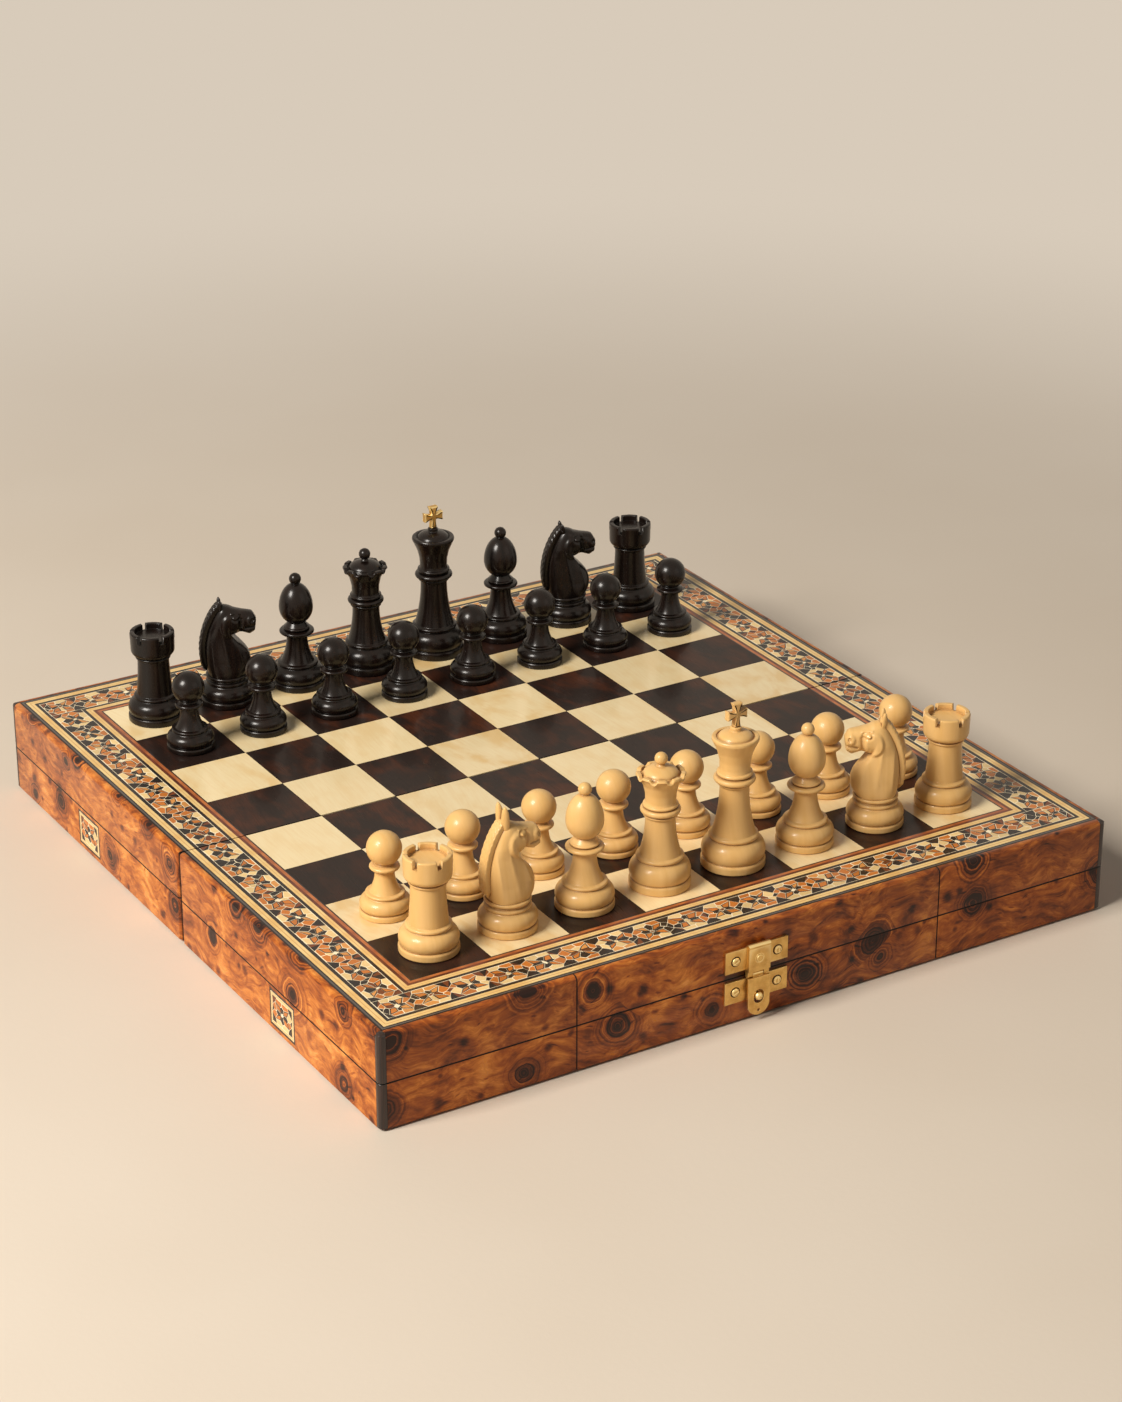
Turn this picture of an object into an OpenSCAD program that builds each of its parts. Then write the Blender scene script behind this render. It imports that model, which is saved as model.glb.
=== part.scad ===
// Chess box: a shallow square case whose hinged lid carries an inlaid board.
// The two halves of the case stand a hair apart at mid depth, and a brass hasp closes the front.
// A full set of thirty-two men stands on the board, each man free to be lifted off.
// Origin: centre of the case on the plane it stands on. X runs along the front, Y to the back.

/* [Board] */
// Side of one square of the board
square = 40; // [30:0.5:50]
// Width of the inlaid border between the field and the outer edge
border = 35; // [32:0.5:50]
// Thickness of the veneers laid on the lid and in the sides
veneer_t = 0.8; // [0.5:0.1:1.5]
// Width left for the glue line between two squares
glue_line = 0.12; // [0.05:0.01:0.3]

/* [Case] */
// Total height of the closed case, without the men
case_h = 47.5; // [40:0.5:70]
// Height of the seam above the table, as the top of the tray
seam_z = 23.1; // [18:0.1:30]
// Gap between tray and lid at the seam
seam_gap = 0.3; // [0.2:0.05:1]
// Gap between the front and the rear half at mid depth
mid_gap = 0.8; // [0.4:0.1:2]
// Thickness of the outer walls
wall_t = 10; // [8:0.5:16]
// Thickness of the walls on both sides of the middle gap
mid_wall_t = 6; // [4:0.5:10]
// Thickness of the floor panel of the tray
floor_t = 4; // [3:0.5:6]
// Thickness of the board panel of the lid
board_t = 5; // [4:0.5:8]
// How far the floor and board panels are let into the walls
rebate = 3; // [2:0.5:5]
// Thickness of the baize lining
lining_t = 1; // [0.5:0.1:2]
// Radius of the rounded top edges and of the arrises at the middle gap
arris_r = 2.5; // [1:0.1:3.4]
// Side of the dark corner strips
post_s = 3.6; // [3:0.1:4]
// Radius of the outer corner of the corner strips
post_r = 2.4; // [1:0.1:2.9]
// Distance of the upright veneer joints on the front from the middle
veneer_joint_x = 97.5; // [40:0.5:140]

/* [Border lines, from the outside in] */
// Burr edge left bare of lines
edge_w = 4; // [4:0.1:6]
// Outer dark line
dark_1 = 1.6; // [0.8:0.1:2.5]
// One pale line of the outer pair
pale_outer = 1.4; // [0.8:0.1:2]
// Dark hairline between the outer pair
hair_outer = 0.5; // [0.3:0.1:1]
// Dark line outside the mosaic
dark_2 = 1.6; // [0.8:0.1:2.5]
// Dark line inside the mosaic
dark_3 = 1.4; // [0.8:0.1:2.5]
// One pale line of the inner pair
pale_inner = 1.2; // [0.8:0.1:2]
// Dark hairline between the inner pair
hair_inner = 0.4; // [0.3:0.1:1]
// Dark red line
red_w = 1.6; // [0.8:0.1:2.5]
// Orange line
orange_w = 1.6; // [0.8:0.1:2.5]
// Dark hairline round the field
dark_4 = 0.7; // [0.4:0.1:1.5]

/* [Side medallions] */
// Length of a medallion along the side
medallion_w = 24; // [16:0.5:30]
// Height of a medallion
medallion_h = 18.4; // [12:0.2:20]
// Distance of each medallion from the middle gap
medallion_y = 104; // [60:1:150]

/* [Feet] */
// Height of the felt feet
foot_h = 1; // [0.6:0.1:3]
// Diameter of the felt feet
foot_d = 16; // [10:1:24]
// Distance of the feet from the edges of the case
foot_inset = 22; // [18:1:50]

/* [Rear hinges] */
// Distance of each hinge from the middle
hinge_x = 110; // [60:1:160]
// Length of a hinge
hinge_l = 36; // [24:1:60]
// Height of one leaf on the wall
leaf_h = 15; // [12:0.5:17]
// Thickness of a leaf
leaf_t = 1.2; // [0.8:0.1:2]
// Radius of the knuckles
knuckle_r = 2.4; // [2.2:0.1:3]
// Radius of the hinge pins
pin_r = 1.1; // [0.8:0.05:1.3]
// Radial clearance of every pin in its bore
pin_fit = 0.05; // [0.02:0.01:0.1]
// Knuckles in one hinge
knuckles = 5; // [3:2:7]
// Gap between two knuckles
knuckle_gap = 0.3; // [0.2:0.05:0.6]

/* [Clasp] */
// Middle of the clasp along the front
clasp_x = -4; // [-20:1:20]
// Width of the two screwed plates
plate_w = 33.5; // [26:0.5:44]
// Height of the two screwed plates
plate_h = 11; // [9:0.2:13]
// Thickness of the plates
plate_t = 1; // [0.8:0.1:1.5]
// Distance of the tray's plate below the axis of the hasp
tray_plate_off = 1.6; // [1.2:0.1:2.2]
// Distance of the lid's plate above the axis of the hasp
lid_plate_off = 3; // [2.4:0.1:3.6]
// Distance of the strap above the axis of the hasp
strap_off = 2; // [1.8:0.1:2.4]
// Width of the raised strap and of the hasp
strap_w = 11.5; // [9:0.5:14]
// How far the face of the strap stands off the wall
strap_out = 3.5; // [3:0.1:4]
// Length of the hasp below its axis
hasp_l = 20.4; // [19:0.2:20.6]
// Thickness of the hasp
hasp_t = 1.2; // [1:0.1:1.5]
// Radius of the small barrel of the hasp
barrel_r = 1; // [0.8:0.05:1.1]
// Radius of the pin of the hasp
hasp_pin_r = 0.5; // [0.4:0.05:0.6]
// Width of the slot in the hasp
slot_w = 5.2; // [4.6:0.1:6]
// Length of the slot in the hasp
slot_l = 7; // [6:0.1:8]
// Radius of the domed stud
stud_r = 2; // [1.5:0.1:2.2]
// How far the stud stands off the wall
stud_out = 5; // [4.6:0.1:6]
// Distance of the stud below the axis of the hasp
stud_drop = 11; // [10:0.1:12]
// Radius of the rolled bead along the top of the strap
bead_r = 1.4; // [1:0.1:1.6]
// Width of the hasp's own lug
lug_w = 5.4; // [4:0.1:7]

/* [Screws] */
// Radius of the screw heads
head_r = 2.2; // [1.6:0.1:2.3]
// Height of the screw heads
head_h = 0.7; // [0.4:0.1:1]
// Radius of the screw shanks
shank_r = 0.9; // [0.6:0.05:1.2]
// Length of the screw shanks in the wood
shank_l = 6; // [4:0.5:7]

/* [Chess men] */
// Height of a king with its cross
king_h = 81; // [60:1:95]
// Diameter of a king's base
king_d = 30; // [22:0.5:34]
// Height of a queen
queen_h = 66; // [50:1:85]
// Diameter of a queen's base
queen_d = 28.6; // [22:0.5:34]
// Height of a bishop
bishop_h = 61; // [45:1:75]
// Diameter of a bishop's base
bishop_d = 27.4; // [20:0.5:32]
// Height of a knight
knight_h = 57; // [45:1:75]
// Diameter of a knight's base
knight_d = 27.4; // [20:0.5:32]
// Height of a rook
rook_h = 47.5; // [40:0.5:65]
// Diameter of a rook's base
rook_d = 27.4; // [20:0.5:32]
// Height of a pawn
pawn_h = 40.3; // [35:0.1:55]
// Diameter of a pawn's base
pawn_d = 23.6; // [18:0.2:28]
// Height of the turned foot of a king
king_foot = 17; // [12:0.2:20]
// Height of the turned foot of a queen
queen_foot = 16.6; // [12:0.2:20]
// Height of the turned foot of a bishop
bishop_foot = 13.8; // [10:0.2:17]
// Height of the turned foot of a knight, up to its swelling
knight_foot = 13.2; // [10:0.2:15]
// Height of the turned foot of a rook
rook_foot = 14.4; // [10:0.2:17]
// Height of the turned foot of a pawn
pawn_foot = 11.6; // [9:0.2:14]
// Points of a queen's coronet
coronet_points = 9; // [7:1:12]
// Embrasures in a rook's battlement
embrasures = 6; // [4:1:8]
// Width of an embrasure
embrasure_w = 2.1; // [1:0.1:3]
// Gap under each man, the nap of its felt base
seat_gap = 0.1; // [0.05:0.05:0.2]

/* [Hidden] */
$fn = 48;
CUT = 1;

half_w = 4 * square + border;
half_d = half_w + mid_gap / 2;
half_depth = half_w;
lid_z = seam_z + seam_gap;
top_z = case_h;
bed_z = top_z - veneer_t;
board_z = bed_z - board_t;
floor_z = foot_h + floor_t;
panel_w = half_w - wall_t + rebate;
panel_d = half_d - wall_t + rebate;
hinge_z = seam_z + seam_gap / 2;

at_dark_1 = edge_w;
at_pale_outer = at_dark_1 + dark_1;
at_hair_outer = at_pale_outer + pale_outer;
at_pale_outer_2 = at_hair_outer + hair_outer;
at_dark_2 = at_pale_outer_2 + pale_outer;
at_mosaic = at_dark_2 + dark_2;
at_dark_4 = border - dark_4;
at_orange = at_dark_4 - orange_w;
at_red = at_orange - red_w;
at_pale_inner_2 = at_red - pale_inner;
at_hair_inner = at_pale_inner_2 - hair_inner;
at_pale_inner = at_hair_inner - pale_inner;
at_dark_3 = at_pale_inner - dark_3;

knuckle_off = 0.2;
knuckle_y = knuckle_r + knuckle_off;
knuckle_pitch = hinge_l / knuckles;
hasp_z = lid_z;
barrel_set = 0.7;
barrel_out = strap_out - hasp_t - barrel_set;
pin_end = 0.3;
pilot_extra = 0.5;
groove_w = 0.4;
groove_d = 0.25;
screw_x = (plate_w + strap_w) / 4;

burr = "#b5652b";
burr_dark = "#8a4420";
ebony = "#2a211d";
maple = "#e8cf9c";
boxwood = "#dcb878";
brass = "#c9a258";
baize = "#5a1f24";
tulip = "#b8612c";

FILES = ["a", "b", "c", "d", "e", "f", "g", "h"];
SIDES = ["white", "black"];
BOX_NODES = [
  "tray_frame_front", "tray_frame_rear", "tray_floor", "tray_linings",
  "tray_corner_posts", "side_medallions", "feet", "tray_hinge_leaves",
  "hinge_pins", "tray_screws", "catch_plate",
  "lid_frame_front", "lid_frame_rear", "lid_board", "lid_linings",
  "lid_corner_posts", "light_squares", "dark_squares", "mosaic_bands",
  "light_stringing", "dark_stringing", "red_stringing",
  "lid_hinge_leaves", "lid_screws", "clasp_plate", "hasp_pin", "hasp"
];
OFFICERS = ["king", "queen", "bishop_c", "bishop_f", "knight_b", "knight_g", "rook_a", "rook_h"];

// Places on the case

// Puts a shape on the front or rear wall: local x along the wall, y up, z out of the wall
module on_front(x = 0) translate([x, -half_d, 0]) rotate([90, 0, 0]) children();
module on_rear(x = 0) translate([x, half_d, 0]) rotate([90, 0, 180]) children();

// Copies a shape to both hinges
module both_hinges() for (side = [-1, 1]) on_rear(side * hinge_x) children();

// Flips the front half to make the rear half
module rear_half() mirror([0, 1, 0]) children();

// Solid that rounds one long edge: the edge runs along x, the wood lies towards +y and -z
module edge_cutter(length) {
  difference() {
    translate([-CUT, -CUT, -arris_r]) cube([length + 2 * CUT, arris_r + CUT, arris_r + CUT]);
    translate([-2 * CUT, arris_r, -arris_r]) rotate([0, 90, 0]) cylinder(r = arris_r, h = length + 4 * CUT);
  }
}

// The rounded top edges of the whole lid
module top_edge_cutters() {
  translate([-half_w, -half_d, top_z]) edge_cutter(2 * half_w);
  translate([half_w, half_d, top_z]) rotate([0, 0, 180]) edge_cutter(2 * half_w);
  translate([-half_w, half_d, top_z]) rotate([0, 0, -90]) edge_cutter(2 * half_d);
  translate([half_w, -half_d, top_z]) rotate([0, 0, 90]) edge_cutter(2 * half_d);
}

// Outline of a half frame seen from above, with room for the corner strips
module half_outline() {
  difference() {
    translate([-half_w, -half_d]) square([2 * half_w, half_depth]);
    for (side = [-1, 1]) {
      translate([side * (half_w - post_s / 2), post_s / 2 - half_d]) square(post_s, center = true);
      translate([side * (half_w - arris_r), -mid_gap / 2 - arris_r]) difference() {
        translate([side > 0 ? 0 : -arris_r - CUT, 0]) square(arris_r + CUT);
        circle(arris_r);
      }
    }
    translate([wall_t - half_w, wall_t - half_d])
      square([2 * (half_w - wall_t), half_depth - wall_t - mid_wall_t]);
  }
}

// Upright veneer joints on the front wall, as fine grooves
module veneer_grooves() {
  for (side = [-1, 1])
    translate([side * veneer_joint_x - groove_w / 2, -half_d - CUT, 0])
      cube([groove_w, CUT + groove_d, case_h]);
}

// Pilot holes of the screws in the clasp plates
module clasp_screw_holes(z) {
  on_front(clasp_x) for (side = [-1, 1])
    translate([side * screw_x, z, -shank_l - pilot_extra]) cylinder(r = shank_r + pin_fit, h = shank_l + CUT);
}

// Pilot holes of the screws in the hinge leaves
module hinge_screw_holes(z) {
  both_hinges() for (i = [-1:1])
    translate([i * hinge_l / 3, z, -shank_l - pilot_extra])
      cylinder(r = shank_r + pin_fit, h = shank_l + CUT);
}

// Heights of the screws above the table
tray_plate_z = hasp_z - tray_plate_off - plate_h / 2;
lid_plate_z = hasp_z + lid_plate_off + plate_h / 2;
tray_leaf_z = hinge_z - leaf_h / 2 - knuckle_r;
lid_leaf_z = hinge_z + leaf_h / 2 + knuckle_r;

// Pockets for the inlaid side medallions
module medallion_pockets() {
  for (side = [-1, 1]) for (end = [-1, 1])
    translate([side * half_w, end * medallion_y, (foot_h + seam_z) / 2])
      cube([2 * veneer_t, medallion_w, medallion_h], center = true);
}

// Tray

module tray_frame_half() {
  difference() {
    translate([0, 0, foot_h]) linear_extrude(seam_z - foot_h) half_outline();
    translate([-panel_w, -panel_d, foot_h - CUT]) cube([2 * panel_w, panel_d + CUT, floor_t + CUT]);
    veneer_grooves();
    medallion_pockets();
  }
}

module tray_frame_front() {
  color(burr) difference() {
    tray_frame_half();
    clasp_screw_holes(tray_plate_z);
  }
}

module tray_frame_rear() {
  color(burr) difference() {
    rear_half() tray_frame_half();
    hinge_screw_holes(tray_leaf_z);
  }
}

module tray_floor() {
  color(burr_dark) translate([-panel_w, -panel_d, foot_h]) cube([2 * panel_w, 2 * panel_d, floor_t]);
}

// Lining of one compartment
module lining(z) {
  color(baize) translate([wall_t - half_w, wall_t - half_d, z])
    cube([2 * (half_w - wall_t), half_depth - wall_t - mid_wall_t, lining_t]);
}

module tray_linings() {
  lining(floor_z);
  rear_half() lining(floor_z);
}

// One corner strip, its outer corner rounded
module corner_strip(height) {
  linear_extrude(height) {
    difference() {
      translate([-half_w, -half_d]) square(post_s);
      translate([-half_w - CUT, -half_d - CUT]) square(post_r + CUT);
    }
    intersection() {
      translate([-half_w, -half_d]) square(post_r);
      translate([post_r - half_w, post_r - half_d]) circle(post_r);
    }
  }
}

// A strip at each of the four corners
module corner_strips(z0, z1) {
  color(ebony) for (flip_x = [0, 1]) for (flip_y = [0, 1])
    mirror([flip_x, 0, 0]) mirror([0, flip_y, 0]) translate([0, 0, z0]) corner_strip(z1 - z0);
}

module tray_corner_posts() {
  corner_strips(foot_h, seam_z);
}

module side_medallions() {
  color(maple) intersection() {
    medallion_pockets();
    cube([2 * half_w, 4 * half_d, 4 * case_h], center = true);
  }
}

module feet() {
  color(ebony) for (x = [-1, 1]) for (y = [-1, 1])
    translate([x * (half_w - foot_inset), y * (half_d - foot_inset), 0]) cylinder(d = foot_d, h = foot_h);
}

// Lid

module lid_frame_half() {
  difference() {
    translate([0, 0, lid_z]) linear_extrude(top_z - lid_z) half_outline();
    translate([-panel_w, -panel_d, board_z]) cube([2 * panel_w, panel_d + CUT, board_t + CUT]);
    translate([edge_w - half_w, edge_w - half_d, bed_z])
      cube([2 * (half_w - edge_w), half_d + CUT, veneer_t + CUT]);
    top_edge_cutters();
    veneer_grooves();
  }
}

module lid_frame_front() {
  color(burr) difference() {
    lid_frame_half();
    clasp_screw_holes(lid_plate_z);
  }
}

module lid_frame_rear() {
  color(burr) difference() {
    rear_half() lid_frame_half();
    hinge_screw_holes(lid_leaf_z);
  }
}

module lid_board() {
  color(burr_dark) translate([-panel_w, -panel_d, board_z]) cube([2 * panel_w, 2 * panel_d, board_t]);
}

module lid_linings() {
  lining(board_z - lining_t);
  rear_half() lining(board_z - lining_t);
}

module lid_corner_posts() {
  color(ebony) difference() {
    corner_strips(lid_z, top_z);
    top_edge_cutters();
  }
}

// Centre of a square, file and rank counted from 0
function square_x(f) = (f - 3.5) * square;
function square_y(r) = (r - 3.5) * square + (r < 4 ? -1 : 1) * mid_gap / 2;

// All squares of one colour
module squares(parity) {
  side = square - glue_line;
  for (f = [0:7]) for (r = [0:7]) if ((f + r) % 2 == parity)
    translate([square_x(f) - side / 2, square_y(r) - side / 2, bed_z]) cube([side, side, veneer_t]);
}

module light_squares() color(maple) squares(1);
module dark_squares() color(ebony) squares(0);

// One line of the border, cut by the middle gap: its outer edge lies at_in from the edge
module border_line(at_in, width) {
  translate([0, 0, bed_z]) linear_extrude(veneer_t) difference() {
    square([2 * (half_w - at_in), 2 * (half_d - at_in)], center = true);
    square([2 * (half_w - at_in - width), 2 * (half_d - at_in - width)], center = true);
    square([3 * half_w, mid_gap], center = true);
  }
}

module mosaic_bands() color(tulip) border_line(at_mosaic, at_dark_3 - at_mosaic);

module light_stringing() color(maple) {
  border_line(at_pale_outer, pale_outer);
  border_line(at_pale_outer_2, pale_outer);
  border_line(at_pale_inner, pale_inner);
  border_line(at_pale_inner_2, pale_inner);
}

module dark_stringing() color(ebony) {
  border_line(at_dark_1, dark_1);
  border_line(at_hair_outer, hair_outer);
  border_line(at_dark_2, dark_2);
  border_line(at_dark_3, dark_3);
  border_line(at_hair_inner, hair_inner);
  border_line(at_dark_4, dark_4);
}

module red_stringing() color(burr_dark) {
  border_line(at_red, red_w);
  border_line(at_orange, orange_w);
}

// Hinges

// True for the knuckles that belong to the tray
function is_tray_knuckle(i) = i % 2 == 0;

// One leaf with its knuckles: up is 1 for the lid's leaf and -1 for the tray's
module hinge_leaf(up) {
  difference() {
    union() {
      translate([-hinge_l / 2, up > 0 ? knuckle_r + knuckle_gap : -leaf_h - knuckle_r, 0])
        cube([hinge_l, leaf_h - knuckle_gap, leaf_t]);
      for (i = [0:knuckles - 1]) if (is_tray_knuckle(i) == (up < 0))
        translate([i * knuckle_pitch - hinge_l / 2 + knuckle_gap / 2, 0, 0]) {
          translate([0, 0, knuckle_y]) rotate([0, 90, 0])
            cylinder(r = knuckle_r, h = knuckle_pitch - knuckle_gap);
          translate([0, up > 0 ? 0 : -knuckle_r - 2 * knuckle_gap, 0])
            cube([knuckle_pitch - knuckle_gap, knuckle_r + 2 * knuckle_gap, leaf_t]);
        }
    }
    translate([-hinge_l, 0, knuckle_y]) rotate([0, 90, 0]) cylinder(r = pin_r + pin_fit, h = 2 * hinge_l);
    for (i = [-1:1]) translate([i * hinge_l / 3, up * (leaf_h / 2 + knuckle_r), -CUT])
      cylinder(r = shank_r + pin_fit, h = leaf_t + 2 * CUT);
  }
}

module tray_hinge_leaves() color(brass) both_hinges() translate([0, hinge_z, 0]) hinge_leaf(-1);
module lid_hinge_leaves() color(brass) both_hinges() translate([0, hinge_z, 0]) hinge_leaf(1);

module hinge_pins() color(brass) both_hinges()
  translate([-hinge_l / 2 - pin_end, hinge_z, knuckle_y]) rotate([0, 90, 0])
    cylinder(r = pin_r, h = hinge_l + 2 * pin_end);

// One slotted screw, its head seated on a plate of the given thickness
module screw(seat) {
  dome_r = 2 * head_r + 1;
  slot = 0.5;
  overlap = 0.1;
  difference() {
    union() {
      translate([0, 0, seat]) rotate_extrude() intersection() {
        translate([0, head_h - dome_r]) circle(dome_r, $fn = 96);
        square([head_r, head_h]);
      }
      translate([0, 0, -shank_l]) cylinder(r = shank_r, h = shank_l + seat + overlap);
    }
    translate([0, 0, seat + head_h]) cube([3 * head_r, slot, head_h], center = true);
  }
}

// The screws of one plate and of the two leaves beside one seam face
module screw_set(plate_z, leaf_z) {
  color(brass) {
    on_front(clasp_x) for (side = [-1, 1]) translate([side * screw_x, plate_z, 0]) screw(plate_t);
    both_hinges() for (i = [-1:1]) translate([i * hinge_l / 3, leaf_z, 0]) screw(leaf_t);
  }
}

module tray_screws() screw_set(tray_plate_z, tray_leaf_z);
module lid_screws() screw_set(lid_plate_z, lid_leaf_z);

// Clasp

// A plate with its two screw holes, its lower edge at y
module clasp_base(y) {
  difference() {
    translate([-plate_w / 2, y, 0]) cube([plate_w, plate_h, plate_t]);
    for (side = [-1, 1]) translate([side * screw_x, y + plate_h / 2, -CUT])
      cylinder(r = shank_r + pin_fit, h = plate_t + 2 * CUT);
  }
}

// The lid's plate: a raised riveted strap with a rolled top edge and two small knuckles
module clasp_plate() {
  strap_y = hasp_z + strap_off;
  strap_back = 0.3;
  roll_y = lid_plate_z + plate_h / 2 + 0.4;
  roll_out = strap_out + 0.3 - bead_r;
  ear_w = (strap_w - lug_w) / 2 - knuckle_gap;
  ear_l = strap_off + 0.5;
  rivet = [1.6, 1.1, 0.4];
  sunk = 0.1;
  color(brass) on_front(clasp_x) {
    clasp_base(lid_plate_z - plate_h / 2);
    difference() {
      union() {
        translate([-strap_w / 2, strap_y, strap_back])
          cube([strap_w, roll_y - strap_y, strap_out - strap_back]);
        translate([-strap_w / 2, roll_y, roll_out]) rotate([0, 90, 0]) cylinder(r = bead_r, h = strap_w);
        for (side = [-1, 1]) translate([side > 0 ? strap_w / 2 - ear_w : -strap_w / 2, hasp_z, 0]) {
          translate([0, 0, barrel_out]) rotate([0, 90, 0]) cylinder(r = barrel_r, h = ear_w);
          translate([0, 0, barrel_out - barrel_r]) cube([ear_w, ear_l, 2 * barrel_r]);
        }
      }
      translate([-strap_w, hasp_z, barrel_out]) rotate([0, 90, 0])
        cylinder(r = hasp_pin_r + pin_fit, h = 2 * strap_w);
    }
    translate([0, lid_plate_z, strap_out - sunk]) cylinder(r1 = rivet[0], r2 = rivet[1], h = rivet[2] + sunk);
  }
}

module hasp_pin() color(brass) on_front(clasp_x)
  translate([-strap_w / 2, hasp_z, barrel_out]) rotate([0, 90, 0]) cylinder(r = hasp_pin_r, h = strap_w);

// The tray's plate with the domed stud that the hasp closes over
module catch_plate() {
  neck = stud_out - stud_r;
  color(brass) on_front(clasp_x) {
    clasp_base(tray_plate_z - plate_h / 2);
    translate([0, hasp_z - stud_drop, 0]) {
      cylinder(r = stud_r, h = neck);
      translate([0, 0, neck]) intersection() {
        sphere(r = stud_r);
        cylinder(r = 2 * stud_r, h = 2 * stud_r);
      }
    }
  }
}

// The hasp: a round-ended tongue with a slot, hung on its own small barrel
module hasp() {
  face = strap_out;
  back = strap_out - hasp_t;
  tongue_top = hasp_z - 1.2;
  tip_y = hasp_z - hasp_l + strap_w / 2;
  lug_back = plate_t + 0.3;
  along = 1;
  across = 0.2;
  eye_r = 0.7;
  eye_y = hasp_z - hasp_l + 2.4;
  color(brass) on_front(clasp_x) difference() {
    union() {
      translate([0, 0, back]) linear_extrude(face - back) {
        translate([-strap_w / 2, tip_y]) square([strap_w, tongue_top - tip_y]);
        translate([0, tip_y]) circle(strap_w / 2);
      }
      translate([-lug_w / 2, hasp_z, barrel_out]) rotate([0, 90, 0]) cylinder(r = barrel_r, h = lug_w);
      translate([-lug_w / 2, tongue_top - along, lug_back])
        cube([lug_w, hasp_z - tongue_top + along, back - lug_back + across]);
    }
    translate([-strap_w, hasp_z, barrel_out]) rotate([0, 90, 0])
      cylinder(r = hasp_pin_r + pin_fit, h = 2 * strap_w);
    translate([0, hasp_z - stud_drop, back - CUT]) linear_extrude(hasp_t + 2 * CUT) {
      square([slot_w, slot_l - slot_w], center = true);
      for (end = [-1, 1]) translate([0, end * (slot_l - slot_w) / 2]) circle(slot_w / 2);
    }
    translate([0, eye_y, back - CUT]) cylinder(r = eye_r, h = hasp_t + 2 * CUT);
  }
}

// Chess men: each turned man is an outline of radius against height

// Points on an arc of an ellipse
function arc(cx, cz, rx, rz, from, to, steps = 6) =
  [for (i = [0:steps]) let (a = from + (to - from) * i / steps) [cx + rx * cos(a), cz + rz * sin(a)]];

// A round bead between two heights, r at its widest
function bead(r, z0, z1) = arc(r - (z1 - z0) / 2, (z0 + z1) / 2, (z1 - z0) / 2, (z1 - z0) / 2, -90, 90);

// A stem that flares towards its foot by a power law
function stem(r0, z0, r1, z1, power = 2.2, steps = 8) =
  [for (i = [0:steps]) let (t = i / steps) [r1 + (r0 - r1) * pow(1 - t, power), z0 + (z1 - z0) * t]];

// Plinth, groove, swelling and fillet that every man stands on, for a base radius r and a height h
function foot_outline(r, h) = concat(
  [[0, 0], [r - 0.5, 0], [r, 0.5], [r, 0.2 * h], [r - 0.35, 0.25 * h], [r - 1.1, 0.27 * h],
   [r - 1.1, 0.29 * h]],
  arc(r - 4.9, 0.47 * h, 4.8, 0.35 * h, -35, 66, 8),
  arc(0.71 * r, 0.895 * h, 0.06 * h, 0.065 * h, -75, 80, 4)
);

module turned(outline) rotate_extrude() polygon(outline);

module pawn() {
  r = pawn_d / 2;
  ball_r = 0.2 * pawn_h;
  turned(concat(
    foot_outline(r, pawn_foot),
    stem(0.61 * r, 0.97 * pawn_foot, 0.375 * r, 0.54 * pawn_h),
    bead(0.59 * r, 0.555 * pawn_h, 0.605 * pawn_h),
    [[0.4 * r, 0.625 * pawn_h]],
    arc(0, pawn_h - ball_r, ball_r, ball_r, -55, 90, 12)
  ));
}

module rook() {
  r = rook_d / 2;
  rim_r = 0.81 * r;
  well_r = 0.635 * r;
  lip = 0.3;
  floor_h = 0.935 * rook_h;
  sill_h = 0.92 * rook_h;
  difference() {
    turned(concat(
      foot_outline(r, rook_foot),
      stem(0.66 * r, 0.98 * rook_foot, 0.575 * r, 0.695 * rook_h, 1.8),
      bead(0.645 * r, 0.699 * rook_h, 0.728 * rook_h),
      arc(rim_r - 3, 0.798 * rook_h, 2.8, 2.9, -80, 0),
      [[rim_r, rook_h - 0.5], [rim_r - 0.5, rook_h], [well_r + lip, rook_h], [well_r, rook_h - lip],
       [well_r, floor_h], [0, floor_h]]
    ));
    for (i = [0:embrasures - 1]) rotate([0, 0, (i + 0.5) * 360 / embrasures])
      translate([well_r - 1, -embrasure_w / 2, sill_h]) cube([r, embrasure_w, rook_h]);
  }
}

module bishop() {
  r = bishop_d / 2;
  head_z = 0.7 * bishop_h;
  head_w = 0.635 * r;
  ball_r = 0.226 * r;
  cut_w = 1;
  cut_turn = 59;
  turned_off = 2;
  difference() {
    turned(concat(
      foot_outline(r, bishop_foot),
      stem(0.63 * r, 0.98 * bishop_foot, 0.385 * r, 0.45 * bishop_h),
      bead(0.45 * r, 0.452 * bishop_h, 0.47 * bishop_h),
      bead(0.65 * r, 0.47 * bishop_h, 0.502 * bishop_h),
      bead(0.5 * r, 0.507 * bishop_h, 0.532 * bishop_h),
      [[0.385 * r, 0.55 * bishop_h]],
      arc(0, head_z, head_w, 0.15 * bishop_h, -60, 0),
      arc(0, head_z, head_w, 0.215 * bishop_h, 4, 76, 8),
      arc(0, bishop_h - ball_r, ball_r, ball_r, -50, 90, 8)
    ));
    rotate([0, 0, cut_turn]) translate([0, -head_w, head_z + 0.09 * bishop_h]) rotate([0, -48, 0])
      translate([turned_off, 0, -cut_w / 2]) cube([2 * head_w, 2 * head_w, cut_w]);
  }
}

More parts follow.
